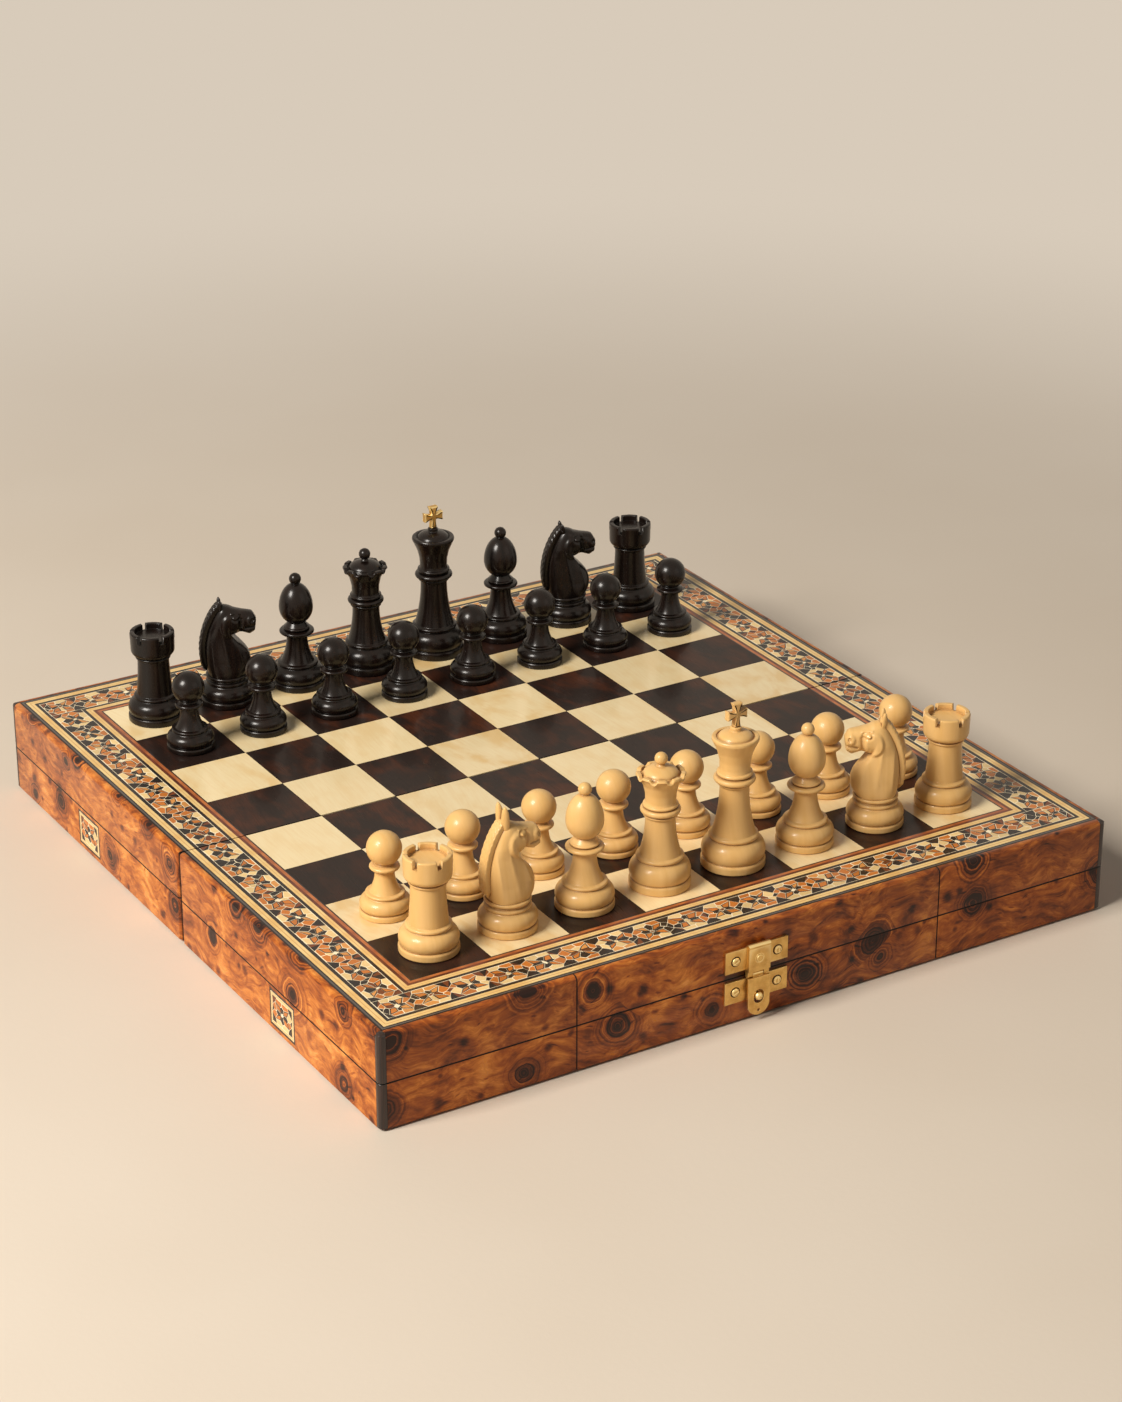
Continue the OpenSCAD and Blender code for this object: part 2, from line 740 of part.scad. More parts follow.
module queen() {
  r = queen_d / 2;
  rim_z = 0.858 * queen_h;
  rim_r = 0.804 * r;
  ball_r = 0.21 * r;
  notch_r = 1.5;
  difference() {
    turned(concat(
      foot_outline(r, queen_foot),
      stem(0.68 * r, 0.98 * queen_foot, 0.485 * r, 0.525 * queen_h),
      bead(0.56 * r, 0.53 * queen_h, 0.552 * queen_h),
      bead(0.65 * r, 0.556 * queen_h, 0.598 * queen_h),
      bead(0.57 * r, 0.602 * queen_h, 0.628 * queen_h),
      [[0.49 * r, 0.645 * queen_h], [0.5 * r, 0.7 * queen_h], [0.57 * r, 0.765 * queen_h],
       [0.71 * r, 0.83 * queen_h], [rim_r, rim_z - 0.9], [rim_r - 0.4, rim_z],
       [rim_r - 2.2, rim_z], [rim_r - 2.8, rim_z - 1.3]],
      arc(0, rim_z - 1.3, rim_r - 3.2, 0.065 * queen_h, 6, 74, 6),
      arc(0, queen_h - ball_r, ball_r, ball_r, -60, 90, 8)
    ));
    for (i = [0:coronet_points - 1]) rotate([0, 0, (i + 0.5) * 360 / coronet_points])
      translate([rim_r - 3, 0, rim_z + 0.2]) rotate([0, 90, 0]) cylinder(r = notch_r, h = r);
  }
}

// Flared cross that tops a king, standing on the height z
module cross(z) {
  reach = 5.2;
  root = 1.35;
  flare = 2.4;
  thick = 3.4;
  heart = king_h - 5.6;
  translate([0, thick / 2, 0]) rotate([90, 0, 0]) linear_extrude(thick) polygon([
    [-1.6, z], [1.6, z], [root, heart - 2.6], [root, heart - root], [reach, heart - flare],
    [reach, heart + flare], [root, heart + root], [flare, king_h], [-flare, king_h],
    [-root, heart + root], [-reach, heart + flare], [-reach, heart - flare],
    [-root, heart - root], [-root, heart - 2.6]
  ]);
}

// Height of the little pedestal that carries the cross
cross_z = 0.856 * king_h;

module king() {
  r = king_d / 2;
  rim_r = 0.727 * r;
  ring_z = 0.797 * king_h;
  turned(concat(
    foot_outline(r, king_foot),
    stem(0.68 * r, 0.98 * king_foot, 0.455 * r, 0.495 * king_h),
    bead(0.53 * r, 0.5 * king_h, 0.518 * king_h),
    bead(0.65 * r, 0.52 * king_h, 0.555 * king_h),
    bead(0.56 * r, 0.56 * king_h, 0.585 * king_h),
    [[0.47 * r, 0.605 * king_h], [0.48 * r, 0.65 * king_h], [0.55 * r, 0.705 * king_h],
     [0.68 * r, 0.76 * king_h], [rim_r, 0.777 * king_h], [rim_r, 0.79 * king_h],
     [rim_r - 0.4, ring_z], [rim_r - 1.9, ring_z], [rim_r - 2.4, 0.788 * king_h]],
    arc(0, 0.788 * king_h, rim_r - 2.8, 0.044 * king_h, 6, 70, 6),
    [[0.173 * r, 0.838 * king_h], [0.18 * r, 0.85 * king_h], [0.127 * r, cross_z], [0, cross_z]]
  ));
}

// Height for which the two outlines of a knight's head are drawn
KNIGHT_DRAWN = 57;

// Side view of a knight's head, neck and mane above its turned foot, x forwards
module knight_side() {
  polygon([
    [-9.4, 15.6], [-11.2, 18.5], [-12.6, 23], [-13, 28], [-12.7, 33.5], [-11.4, 39.8], [-9.2, 45.6],
    [-6.6, 50], [-4, 53], [-2.9, 57], [-1.2, 54], [1.6, 52.2], [4.6, 50.9], [7.8, 50],
    [10.8, 49.4], [13, 48.6], [14.3, 46.8], [14.5, 44], [13.4, 40.4], [11.8, 39.4],
    [8.2, 40.2], [4.9, 39.2], [4.2, 38.8], [5.2, 37.2], [7, 34.8], [9.4, 31.5],
    [11.3, 27.5], [12, 23], [11.4, 19], [9.4, 15.6]
  ]);
}

// Front view of the same head and neck
module knight_front() {
  polygon([
    [-9.4, 15.6], [-9.4, 20], [-8.8, 26], [-7.4, 33], [-6.2, 40], [-5.8, 46], [-5.2, 51], [-4, 57],
    [-1.7, 54], [1.7, 54], [4, 57], [5.2, 51], [5.8, 46], [6.2, 40], [7.4, 33], [8.8, 26],
    [9.4, 20], [9.4, 15.6]
  ]);
}

module knight() {
  r = knight_d / 2;
  h = knight_foot;
  size = [1, 1, 1] * knight_h / KNIGHT_DRAWN;
  turned(concat(
    foot_outline(r, h),
    [[0.7 * r, h], [0.7 * r, 1.06 * h]],
    arc(0.72 * r, 1.13 * h, 0.07 * h, 0.07 * h, -60, 80, 4),
    [[0, 1.2 * h]]
  ));
  scale(size) intersection() {
    translate([0, r, 0]) rotate([90, 0, 0]) linear_extrude(2 * r) knight_side();
    translate([-r, 0, 0]) rotate([90, 0, 90]) linear_extrude(3 * r) knight_front();
  }
}

// Stands a man on a square and gives it its wood
module stand(side, f, r) {
  color(side == "white" ? boxwood : ebony)
    translate([square_x(f), square_y(r), top_z + seat_gap]) children();
}

function home_rank(side) = side == "white" ? 0 : 7;
function pawn_rank(side) = side == "white" ? 1 : 6;

// Parts

tray_frame_front();
tray_frame_rear();
tray_floor();
tray_linings();
tray_corner_posts();
side_medallions();
feet();
tray_hinge_leaves();
hinge_pins();
tray_screws();
catch_plate();
lid_frame_front();
lid_frame_rear();
lid_board();
lid_linings();
lid_corner_posts();
light_squares();
dark_squares();
mosaic_bands();
light_stringing();
dark_stringing();
red_stringing();
lid_hinge_leaves();
lid_screws();
clasp_plate();
hasp_pin();
hasp();
color(brass) translate([square_x(4), square_y(7), top_z + seat_gap]) cross(cross_z);  // black_king_cross
stand("white", 4, 0) {  // white_king
  king();
  cross(cross_z);
}
stand("black", 4, 7) king();  // black_king
for (side = SIDES) {
  rank = home_rank(side);
  stand(side, 3, rank) queen();
  stand(side, 2, rank) bishop();
  stand(side, 5, rank) bishop();
  stand(side, 1, rank) knight();
  stand(side, 6, rank) rotate([0, 0, side == "white" ? 180 : 0]) knight();
  stand(side, 0, rank) rook();
  stand(side, 7, rank) rook();
  for (f = [0:7])
    stand(side, f, pawn_rank(side)) pawn();
}
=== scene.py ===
"""Finish for an inlaid chess box: veneers, inlay, brassware and thirty-two men, in metres on the frame."""

import math

import bmesh
import bpy
import numpy as np
from bpy.props import FloatProperty, FloatVectorProperty, PointerProperty
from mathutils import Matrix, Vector


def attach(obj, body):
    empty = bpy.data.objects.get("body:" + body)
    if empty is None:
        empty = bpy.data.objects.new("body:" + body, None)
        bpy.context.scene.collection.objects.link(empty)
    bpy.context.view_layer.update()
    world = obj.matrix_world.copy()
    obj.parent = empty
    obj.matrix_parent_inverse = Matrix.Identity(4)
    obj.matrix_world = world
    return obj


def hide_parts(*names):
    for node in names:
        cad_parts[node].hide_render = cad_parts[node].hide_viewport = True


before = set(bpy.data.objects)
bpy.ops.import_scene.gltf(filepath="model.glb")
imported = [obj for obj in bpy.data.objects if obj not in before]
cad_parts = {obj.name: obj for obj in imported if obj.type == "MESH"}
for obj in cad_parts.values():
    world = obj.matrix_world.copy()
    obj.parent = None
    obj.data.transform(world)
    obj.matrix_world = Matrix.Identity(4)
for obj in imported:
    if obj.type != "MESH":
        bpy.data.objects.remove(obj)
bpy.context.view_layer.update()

bl_info = {
    "name": "Inlaid chess box",
    "version": (1, 0, 0),
    "blender": (4, 5, 0),
    "location": "3D View > Sidebar > Chess box",
    "description": "Finishes the box, its inlaid board, its brassware and its men",
    "category": "Object",
}

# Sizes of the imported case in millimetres, and heights from the table
MM = 0.001
HALF_W, HALF_D = 195.0, 195.4
TOP_Z, BED_Z, SEAM_Z = 47.5, 46.7, 23.25
SEAT = TOP_Z + 0.1
SQUARE, MID_GAP, WALL, BAY_DEPTH = 40.0, 0.8, 10.0, 179.0
FOOT_INSET, VENEER_JOINT_X = 22.0, 97.5
MEDALLION_Y, MEDALLION_Z, MEDALLION_HALF = 104.0, 12.05, 9.2
HINGE_X, LEAF_T, LEAF_SCREWS = 110.0, 1.2, 12.0
CLASP_X, PLATE_T, PLATE_SCREWS, STRAP_OUT = -4.0, 1.0, 11.25, 3.5
# Heights in the tray and in the lid: the lining's outer face, the clasp's plate and the hinge leaf
LEVELS = {"tray": (5.0, 16.3, 13.35), "lid": (41.7, 31.9, 33.15)}
# Lines of the border, as distances from the edge of the case; EDGE_SHEEN bounds a painted grey reflection on
# the outer black line
BANDING, EDGE_SHEEN = (3.1, 4.2), (5.0, 4.6)
HAIRLINE_OUT, HAIRLINE_IN = (6.9, 7.6), (29.4, 30.0)
MOSAIC_OUT, MOSAIC_IN = 10.5, 26.9
RED_END = (32.6, 32.8)

FILES = "abcdefgh"
ORDER = ["rook_a", "knight_b", "bishop_c", "queen", "king", "bishop_f", "knight_g", "rook_h"]
BACKDROP = (216, 203, 186)


def linear(red, green, blue):
    """Screen levels from 0 to 255 as the light they stand for."""
    return tuple(((c / 255 + 0.055) / 1.055) ** 2.4 if c > 10 else c / 3294.6 for c in (red, green, blue))


class Value:
    """A number that a finish works out at each point of a surface. Sums on it add Math nodes."""

    def __init__(self, finish, socket):
        self.finish, self.socket = finish, socket

    def math(self, operation, *others):
        return self.finish.node("ShaderNodeMath", [self, *others], operation=operation)

    def __add__(self, other):
        return self.math("ADD", other)

    def __mul__(self, other):
        return self.math("MULTIPLY", other)

    def __sub__(self, other):
        return self.math("SUBTRACT", other)

    def __rsub__(self, other):
        return self.finish.node("ShaderNodeMath", [other, self], operation="SUBTRACT")

    def __truediv__(self, other):
        return self.math("DIVIDE", other)

    def __gt__(self, other):
        return self.math("GREATER_THAN", other)

    def __lt__(self, other):
        return self.math("LESS_THAN", other)

    def __abs__(self):
        return self.math("ABSOLUTE")

    __radd__, __rmul__ = __add__, __mul__

    def step(self, low, high):
        """0 below low and 1 above high, with a soft step between; the other way round where low is greater."""
        return self.finish.node("ShaderNodeMapRange", {"Value": self, "From Min": low, "From Max": high},
                                interpolation_type="SMOOTHSTEP")


class Finish:
    """One material, or the world, built up node by node."""

    def __init__(self, name, among=None):
        self.material = (bpy.data.materials if among is None else among).new(name)
        self.material.use_nodes = True
        self.tree = self.material.node_tree
        self.tree.nodes.clear()

    def node(self, kind, inputs=(), output=0, stops=None, **settings):
        """Adds a node: first its settings, then the values or links of its sockets. Returns one output."""
        made = self.tree.nodes.new(kind)
        for name, value in settings.items():
            setattr(made, name, value)
        if stops:
            elements = made.color_ramp.elements
            while len(elements) < len(stops):
                elements.new(1.0)
            for element, (place, colour) in zip(elements, stops):
                element.position = place
                element.color = (*colour, 1.0)
        for key, value in (inputs.items() if isinstance(inputs, dict) else enumerate(inputs)):
            socket = made.inputs[key]
            if isinstance(value, Value):
                self.tree.links.new(value.socket, socket)
            elif isinstance(value, tuple) and socket.type == "RGBA":
                socket.default_value = (*value[:3], 1.0)
            else:
                socket.default_value = value
        return Value(self, made.outputs[output]) if made.outputs else None

    def place(self):
        """The point on the object, in millimetres, as one vector and as x, y and z."""
        metres = self.node("ShaderNodeTexCoord", output="Object")
        whole = self.node("ShaderNodeVectorMath", {0: metres, "Scale": 1000.0}, operation="SCALE")
        return (whole, *self.split(whole))

    def seen(self):
        """1 for the rays that show a background, from the camera, off metal or through glass, and else 0."""
        camera, glossy, through = (self.node("ShaderNodeLightPath", output=f"Is {ray} Ray")
                                   for ray in ("Camera", "Glossy", "Transmission"))
        return camera.math("MAXIMUM", glossy.math("MAXIMUM", through))

    def split(self, vector):
        made = self.node("ShaderNodeSeparateXYZ", [vector])
        return [Value(self, s) for s in made.socket.node.outputs]

    def join(self, x, y, z=0.0):
        return self.node("ShaderNodeCombineXYZ", [x, y, z])

    def stretch(self, vector, scale, shift=(0.0, 0.0, 0.0)):
        return self.node("ShaderNodeVectorMath", {0: vector, 1: scale, 2: shift}, operation="MULTIPLY_ADD")

    def noise(self, vector, size, detail=2.0, rough=0.5, output=0):
        """Cloudy noise whose lumps are size across."""
        inputs = {"Vector": vector, "Scale": 1.0 / size, "Detail": detail, "Roughness": rough}
        return self.node("ShaderNodeTexNoise", inputs, output)

    def warp(self, vector, size, amount, detail=1.0):
        """The vector moved about by up to half of amount, in lumps of size."""
        return self.stretch(self.noise(vector, size, detail, output=1), (amount,) * 3, vector)

    def cells(self, vector, size, spread=1.0):
        """Distance to the nearest scattered point, in the vector's unit, and three chances of that point."""
        inputs = {"Vector": vector, "Scale": 1.0 / size, "Randomness": spread}
        distance = self.node("ShaderNodeTexVoronoi", inputs, voronoi_dimensions="2D")
        return distance * size, self.split(Value(self, distance.socket.node.outputs["Color"]))

    def mix(self, share, first, second):
        """Colour between first and second."""
        return self.node("ShaderNodeMix", {0: share, 6: first, 7: second}, 2, data_type="RGBA")

    def ramp(self, value, *stops, hard=False):
        made = self.node("ShaderNodeValToRGB", [value], stops=stops)
        made.socket.node.color_ramp.interpolation = "CONSTANT" if hard else "LINEAR"
        return made

    def bump(self, height, depth=0.00002, strength=0.4):
        """Relief: height from 0 to 1 over a depth in metres. Unless given, it is that of lacquered wood."""
        return self.node("ShaderNodeBump", {"Height": height, "Distance": depth, "Strength": strength})

    def spun(self, vector, angle):
        """The vector turned about the upright axis."""
        return self.node("ShaderNodeVectorRotate", {"Vector": vector, "Angle": angle}, rotation_type="Z_AXIS")

    def shaded(self, colour, value):
        """The colour made darker or lighter."""
        return self.node("ShaderNodeHueSaturation", {"Value": value, "Color": colour})

    def groove(self, reach):
        """How deep a point lies in a corner or a groove of its own piece: 0 in the open, towards 1 inside.
        Finishes darken by it to paint shade there.
        """
        return 1.0 - self.node("ShaderNodeAmbientOcclusion", {"Distance": reach * MM}, 1, samples=6,
                               only_local=True)

    def surface(self, colour, rough, normal, glow=None, **sockets):
        """Closes the finish with a Principled shader, or with a mix of it and a plain glow (share, colour)."""
        inputs = {"Base Color": colour, "Roughness": rough, "Normal": normal}
        inputs.update({name.replace("_", " "): value for name, value in sockets.items()})
        shader = self.node("ShaderNodeBsdfPrincipled", inputs)
        if glow:
            share, light = glow
            light = self.node("ShaderNodeEmission", [light, 1.0])
            shader = self.node("ShaderNodeMixShader", [share, shader, light])
        self.node("ShaderNodeOutputMaterial", [shader])
        return self.material


def put_on(material, *nodes):
    """Gives a finish to CAD nodes as they are."""
    for name in nodes:
        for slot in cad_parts[name].material_slots:
            slot.material = material


# Shapes


class Shape:
    """Points in millimetres with their quads and triangles, kept as whole arrays."""

    def __init__(self, points, faces):
        self.points = np.asarray(points, float).reshape(-1, 3)
        self.faces = faces

    def moved(self, shift, turn=0.0):
        """A copy turned about the upright axis by turn, in radians, and then moved."""
        c, s = math.cos(turn), math.sin(turn)
        return Shape(self.points @ np.array([[c, s, 0], [-s, c, 0], [0, 0, 1]]) + shift, self.faces)

    def __add__(self, other):
        count = len(self.points)
        return Shape(np.vstack([self.points, other.points]), self.faces + [f + count for f in other.faces])


def together(shapes):
    """All the shapes as one."""
    whole = shapes[0]
    for shape in shapes[1:]:
        whole = whole + shape
    return whole


def circle(count):
    """Angles round a circle, evenly spaced."""
    return np.linspace(0, 2 * np.pi, count, endpoint=False)


def boxed(a, cos_power, sin_power):
    """Cosine and sine, each with a power: below 1 they turn a circle into a rounded box."""
    c, s = np.cos(a), np.sin(a)
    return np.sign(c) * np.abs(c) ** cos_power, np.sign(s) * np.abs(s) ** sin_power


def tube(rows):
    """Closed skin over rings: rows[i, j] is point j of ring i. A point in the middle of each end closes it."""
    count, around = rows.shape[:2]
    i = np.arange(count - 1)[:, None] * around
    j = np.arange(around)[None, :]
    k = (j + 1) % around
    quads = np.stack([i + j, i + k, i + around + k, i + around + j], -1).reshape(-1, 4)
    low, high = count * around, count * around + 1
    last = (count - 1) * around
    caps = np.concatenate([
        np.stack([k[0], j[0], np.full(around, low)], -1),
        np.stack([last + j[0], last + k[0], np.full(around, high)], -1),
    ])
    points = np.vstack([rows.reshape(-1, 3), rows[0].mean(0), rows[-1].mean(0)])
    return Shape(points, [quads, caps])


def enter(name, mesh, body, nodes):
    """Puts a mesh into the scene as an object that rides with a body and stands for nodes."""
    made = bpy.data.objects.new(name, mesh)
    bpy.context.scene.collection.objects.link(made)
    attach(made, body)
    if nodes:
        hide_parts(*nodes)
    return made


def piece(name, shape, body, material, nodes=(), smooth=True, own=None, faces=None):
    """Makes an object from a shape, in metres and with its origin in that of the frame.

    own is a vector for each point, and faces holds a number for each face under its attribute's name."""
    mesh = bpy.data.meshes.new(name)
    mesh.from_pydata((shape.points * MM).tolist(), [], [f for part in shape.faces for f in part.tolist()])
    mesh.polygons.foreach_set("use_smooth", np.full(len(mesh.polygons), smooth))
    if own is not None:
        grain = mesh.attributes.new("grain", "FLOAT_VECTOR", "POINT")
        grain.data.foreach_set("vector", own.astype(np.float32).ravel())
    for mark, values in (faces or {}).items():
        mesh.attributes.new(mark, "FLOAT", "FACE").data.foreach_set("value", values.astype(np.float32))
    mesh.materials.append(material)
    mesh.update()
    return enter(name, mesh, body, nodes)


# Turned outlines: arrays of radius and height, from the middle of the foot up to the middle of the top


def arc(cx, cz, rx, rz, start, stop, steps=14):
    """Points on an ellipse about (cx, cz): (cx + rx cos a, cz + rz sin a) for a from start to stop."""
    a = np.radians(np.linspace(start, stop, steps))
    return np.stack([cx + rx * np.cos(a), cz + rz * np.sin(a)], -1)


def bead(radius, low, high):
    """Half round moulding between two heights."""
    half = (high - low) / 2
    return arc(radius - half, low + half, half, half, -90, 90)


def stem(r0, z0, r1, z1, power=2.2):
    """Stem that flares towards its foot: r = r1 + (r0 - r1)(1 - t) ** power."""
    t = np.linspace(0, 1, 16)
    return np.stack([r1 + (r0 - r1) * (1 - t) ** power, z0 + (z1 - z0) * t], -1)


def foot(r, h):
    """Plinth, groove, swelling and fillet of height h that every man stands on."""
    return np.vstack([
        [[0, 0], [r - 0.5, 0], [r, 0.5], [r, 0.2 * h]],
        [[r - 0.35, 0.25 * h], [r - 1.1, 0.27 * h], [r - 1.1, 0.29 * h]],
        arc(r - 4.9, 0.47 * h, 4.8, 0.35 * h, -35, 66),
        arc(0.71 * r, 0.895 * h, 0.06 * h, 0.065 * h, -75, 80, 8),
    ])


def soften(outline, blur=0.16, longest=1.6, bend=9.0):
    """The outline drawn finely, blurred so that each corner is a small round, and cut into legs.

    On each leg the length over longest, in millimetres, and the turn over bend, in degrees, add up to one."""
    steps = np.hypot(*np.diff(outline, axis=0).T)
    run = np.concatenate([[0], np.cumsum(steps)])
    pace = 0.03
    fine = np.arange(0, run[-1], pace)
    dense = np.stack([np.interp(fine, run, outline[:, 0]), np.interp(fine, run, outline[:, 1])], -1)
    dense = np.vstack([dense, outline[-1]])
    reach = int(4 * blur / pace)
    bell = np.exp(-0.5 * (np.arange(-reach, reach + 1) * pace / blur) ** 2)
    bell /= bell.sum()
    padded = np.pad(dense, ((reach, reach), (0, 0)), "reflect", reflect_type="odd")
    round_ = np.stack([np.convolve(padded[:, i], bell, "valid") for i in range(2)], -1)
    legs = np.diff(round_, axis=0)
    lengths = np.hypot(*legs.T)
    heading = np.unwrap(np.arctan2(legs[:, 1], legs[:, 0]))
    turn = np.concatenate([[0], np.abs(np.diff(heading))])
    cost = np.concatenate([[0], np.cumsum(lengths / longest + np.degrees(turn) / bend)])
    at = np.interp(np.linspace(0, cost[-1], int(cost[-1]) + 2), cost, np.arange(len(cost)))
    cut = np.stack([np.interp(at, np.arange(len(round_)), round_[:, i]) for i in range(2)], -1)
    cut[:, 0] = np.maximum(cut[:, 0], 0.02)
    return cut


def turned(outline, around=56, angles=None, shape=None, **fine):
    """Surface of revolution: (r cos a, r sin a, z) over the outline and the angles.

    shape may change r and z by the angle; fine goes to soften."""
    outline = soften(np.asarray(outline, float), **fine)
    a = circle(around) if angles is None else angles
    r, z = outline[:, :1] + 0 * a, outline[:, 1:] + 0 * a
    if shape:
        r, z = shape(r, z, a[None, :])
    return tube(np.stack([r * np.cos(a), r * np.sin(a), z], -1))


def pawn():
    r, top, h = 11.8, 40.3, 11.6
    ball = 8.1
    return turned(np.vstack([
        foot(r, h), stem(0.61 * r, 0.97 * h, 0.375 * r, 0.54 * top),
        bead(0.59 * r, 0.555 * top, 0.605 * top), [[0.4 * r, 0.625 * top]],
        arc(0, top - ball, ball, ball, -55, 90, 40),
    ]), 48)


def rook():
    r, top, h = 13.7, 47.5, 14.4
    rim, well, floor, count = 11.1, 8.7, 43.7, 6
    outline = np.vstack([
        foot(r, h), stem(0.66 * r, 0.98 * h, 0.575 * r, 33.0, 1.8),
        bead(0.645 * r, 33.2, 34.6), arc(rim - 3.0, 37.9, 2.8, 2.9, -80, 0),
        [[rim, top - 0.5], [rim - 0.5, top], [well + 0.3, top], [well, top - 0.3], [well, 44.5], [0, 44.2]],
    ])
    mid = (np.arange(count) + 0.5) * 2 * np.pi / count
    half = math.asin(1.05 / 10)
    edges = np.concatenate([mid - half - 0.012, mid - half, mid, mid + half, mid + half + 0.012])
    spread = (np.arange(count)[:, None] + np.linspace(-0.34, 0.34, 9)) * 2 * np.pi / count

    def embrasures(r, z, a):
        gap = np.abs((a * count / (2 * np.pi)) % 1 - 0.5) * 2 * np.pi / count
        cut = np.clip((half + 0.012 - gap) / 0.012, 0, 1)
        low = np.minimum(z, floor)
        return r, np.where(r > well - 0.05, z + (low - z) * cut, z)

    return turned(outline, angles=np.sort(np.concatenate([edges, spread.ravel()])), shape=embrasures)


def bishop():
    r, top, h = 13.7, 61.0, 13.8
    knob = 3.1
    return turned(np.vstack([
        foot(r, h), stem(0.63 * r, 0.98 * h, 0.385 * r, 0.45 * top),
        bead(0.45 * r, 0.452 * top, 0.47 * top), bead(0.65 * r, 0.47 * top, 0.502 * top),
        bead(0.5 * r, 0.507 * top, 0.532 * top), [[0.385 * r, 0.55 * top]],
        arc(0, 0.7 * top, 8.7, 0.15 * top, -60, 0, 20), arc(0, 0.7 * top, 8.7, 0.215 * top, 4, 76, 30),
        arc(0, top - knob, knob, knob, -50, 90, 20),
    ]))


def coronet(count, rim_r, rim_z, deep, wide):
    """Rounded notches in a rim: the height falls by deep times a bell of the angle, on the rim only."""
    def shape(r, z, a):
        turn = np.abs(((a * count / (2 * np.pi)) % 1) - 0.5) * 2 / wide
        bell = np.clip(1 - turn ** 2, 0, 1) ** 0.5
        near = np.clip((r - (rim_r - 2.9)) / 0.5, 0, 1) * np.clip((z - (rim_z - 5)) / 4, 0, 1)
        return r, z - deep * bell * near
    return shape


def queen():
    r, top, h = 14.3, 66.0, 16.6
    rim_z, rim = 0.858 * top, 11.5
    return turned(np.vstack([
        foot(r, h), stem(0.68 * r, 0.98 * h, 0.485 * r, 0.525 * top),
        bead(0.56 * r, 0.53 * top, 0.552 * top), bead(0.65 * r, 0.556 * top, 0.598 * top),
        bead(0.57 * r, 0.602 * top, 0.628 * top), [[0.49 * r, 0.645 * top], [0.5 * r, 0.7 * top]],
        [[0.57 * r, 0.765 * top], [0.71 * r, 0.83 * top], [rim, rim_z - 0.9], [rim - 0.4, rim_z],
         [rim - 2.2, rim_z], [rim - 2.8, rim_z - 1.3]],
        arc(0, rim_z - 1.3, rim - 3.2, 4.3, 6, 74, 20),
        arc(0, top - 3.0, 3.0, 3.0, -60, 90, 20),
    ]), 108, shape=coronet(9, rim, rim_z, 1.5, 0.42))


def king():
    r, top, h = 15.0, 81.0, 17.0
    rim = 10.9
    return turned(np.vstack([
        foot(r, h), stem(0.68 * r, 0.98 * h, 0.455 * r, 0.495 * top),
        bead(0.53 * r, 0.5 * top, 0.518 * top), bead(0.65 * r, 0.52 * top, 0.555 * top),
        bead(0.56 * r, 0.56 * top, 0.585 * top), [[0.47 * r, 0.605 * top], [0.48 * r, 0.65 * top]],
        [[0.55 * r, 0.705 * top], [0.68 * r, 0.76 * top], [rim, 0.777 * top], [rim, 0.79 * top]],
        [[rim - 0.4, 0.797 * top], [rim - 1.9, 0.797 * top], [rim - 2.4, 0.788 * top]],
        arc(0, 0.788 * top, rim - 2.8, 3.6, 6, 70, 16),
        [[2.6, 0.838 * top], [2.7, 0.85 * top], [1.9, 0.856 * top], [0, 0.856 * top]],
    ]), 64)


def cross():
    """Cross with flared arms: the outline shrinks by the same rim towards both faces, as |y| grows."""
    z0, heart, reach, root, flare, top = 69.34, 75.4, 5.2, 1.35, 2.4, 81.0
    half = np.array([
        [1.6, z0], [1.5, z0 + 1.2], [root, heart - 2.6], [root, heart - root], [2.6, heart - root - 0.15],
        [reach, heart - flare], [reach, heart + flare], [2.6, heart + root + 0.15], [root, heart + root],
        [1.5, heart + 3.2], [flare, top], [0, top],
    ])
    ring = np.vstack([half, half[-2::-1] * [-1, 1]])
    steps = np.hypot(*np.diff(np.vstack([ring, ring[:1]]), axis=0).T)
    run = np.concatenate([[0], np.cumsum(steps)])
    at = np.linspace(0, run[-1], 180, endpoint=False)
    closed = np.vstack([ring, ring[:1]])
    ring = np.stack([np.interp(at, run, closed[:, i]) for i in range(2)], -1)
    out = np.roll(ring, -1, 0) - np.roll(ring, 1, 0)
    out = np.stack([out[:, 1], -out[:, 0]], -1) / np.hypot(*out.T)[:, None]
    depth = np.array([-1.7, -1.62, -1.35, -1.0, 1.0, 1.35, 1.62, 1.7])
    inset = np.array([0.7, 0.42, 0.12, 0, 0, 0.12, 0.42, 0.7])
    rows = ring[None] - out[None] * inset[:, None, None]
    return tube(np.stack([rows[..., 0], depth[:, None] + 0 * at, rows[..., 1]], -1))


def screw():
    """Round screw head on its shank: a dome, whose slot is where |r sin a| is small."""
    def slotted(r, z, a):
        cut = np.clip((0.4 - np.abs(r * np.sin(a))) / 0.12, 0, 1) * (z > 0.35)
        return r, z - 0.35 * cut

    outline = [[0, -6], [0.9, -6], [0.9, 0.02], [1.95, 0.02], [2.02, 0.3], [1.8, 0.62], [1.1, 0.9], [0, 0.98]]
    return turned(outline, 36, shape=slotted, blur=0.05, longest=0.28, bend=14.0)


def screw_shade_disc():
    """Painted shade of the countersink round a screw: a dark flat disc that the head stands on."""
    return turned([[0, -0.05], [2.55, -0.05], [2.55, 0.03], [2.4, 0.06], [0, 0.06]],
                  36, blur=0.02, longest=0.5, bend=20.0)


def rivet():
    """Flat rivet with a ring turned round it."""
    return turned([[0, -0.1], [2.5, -0.1], [2.5, 0.1], [2.3, 0.18], [2.1, 0.16], [1.95, 0.02], [1.72, 0.02],
                   [1.66, 0.34], [1.4, 0.46], [0.5, 0.47], [0.35, 0.38], [0, 0.38]],
                  36, blur=0.05, longest=0.4, bend=16.0)


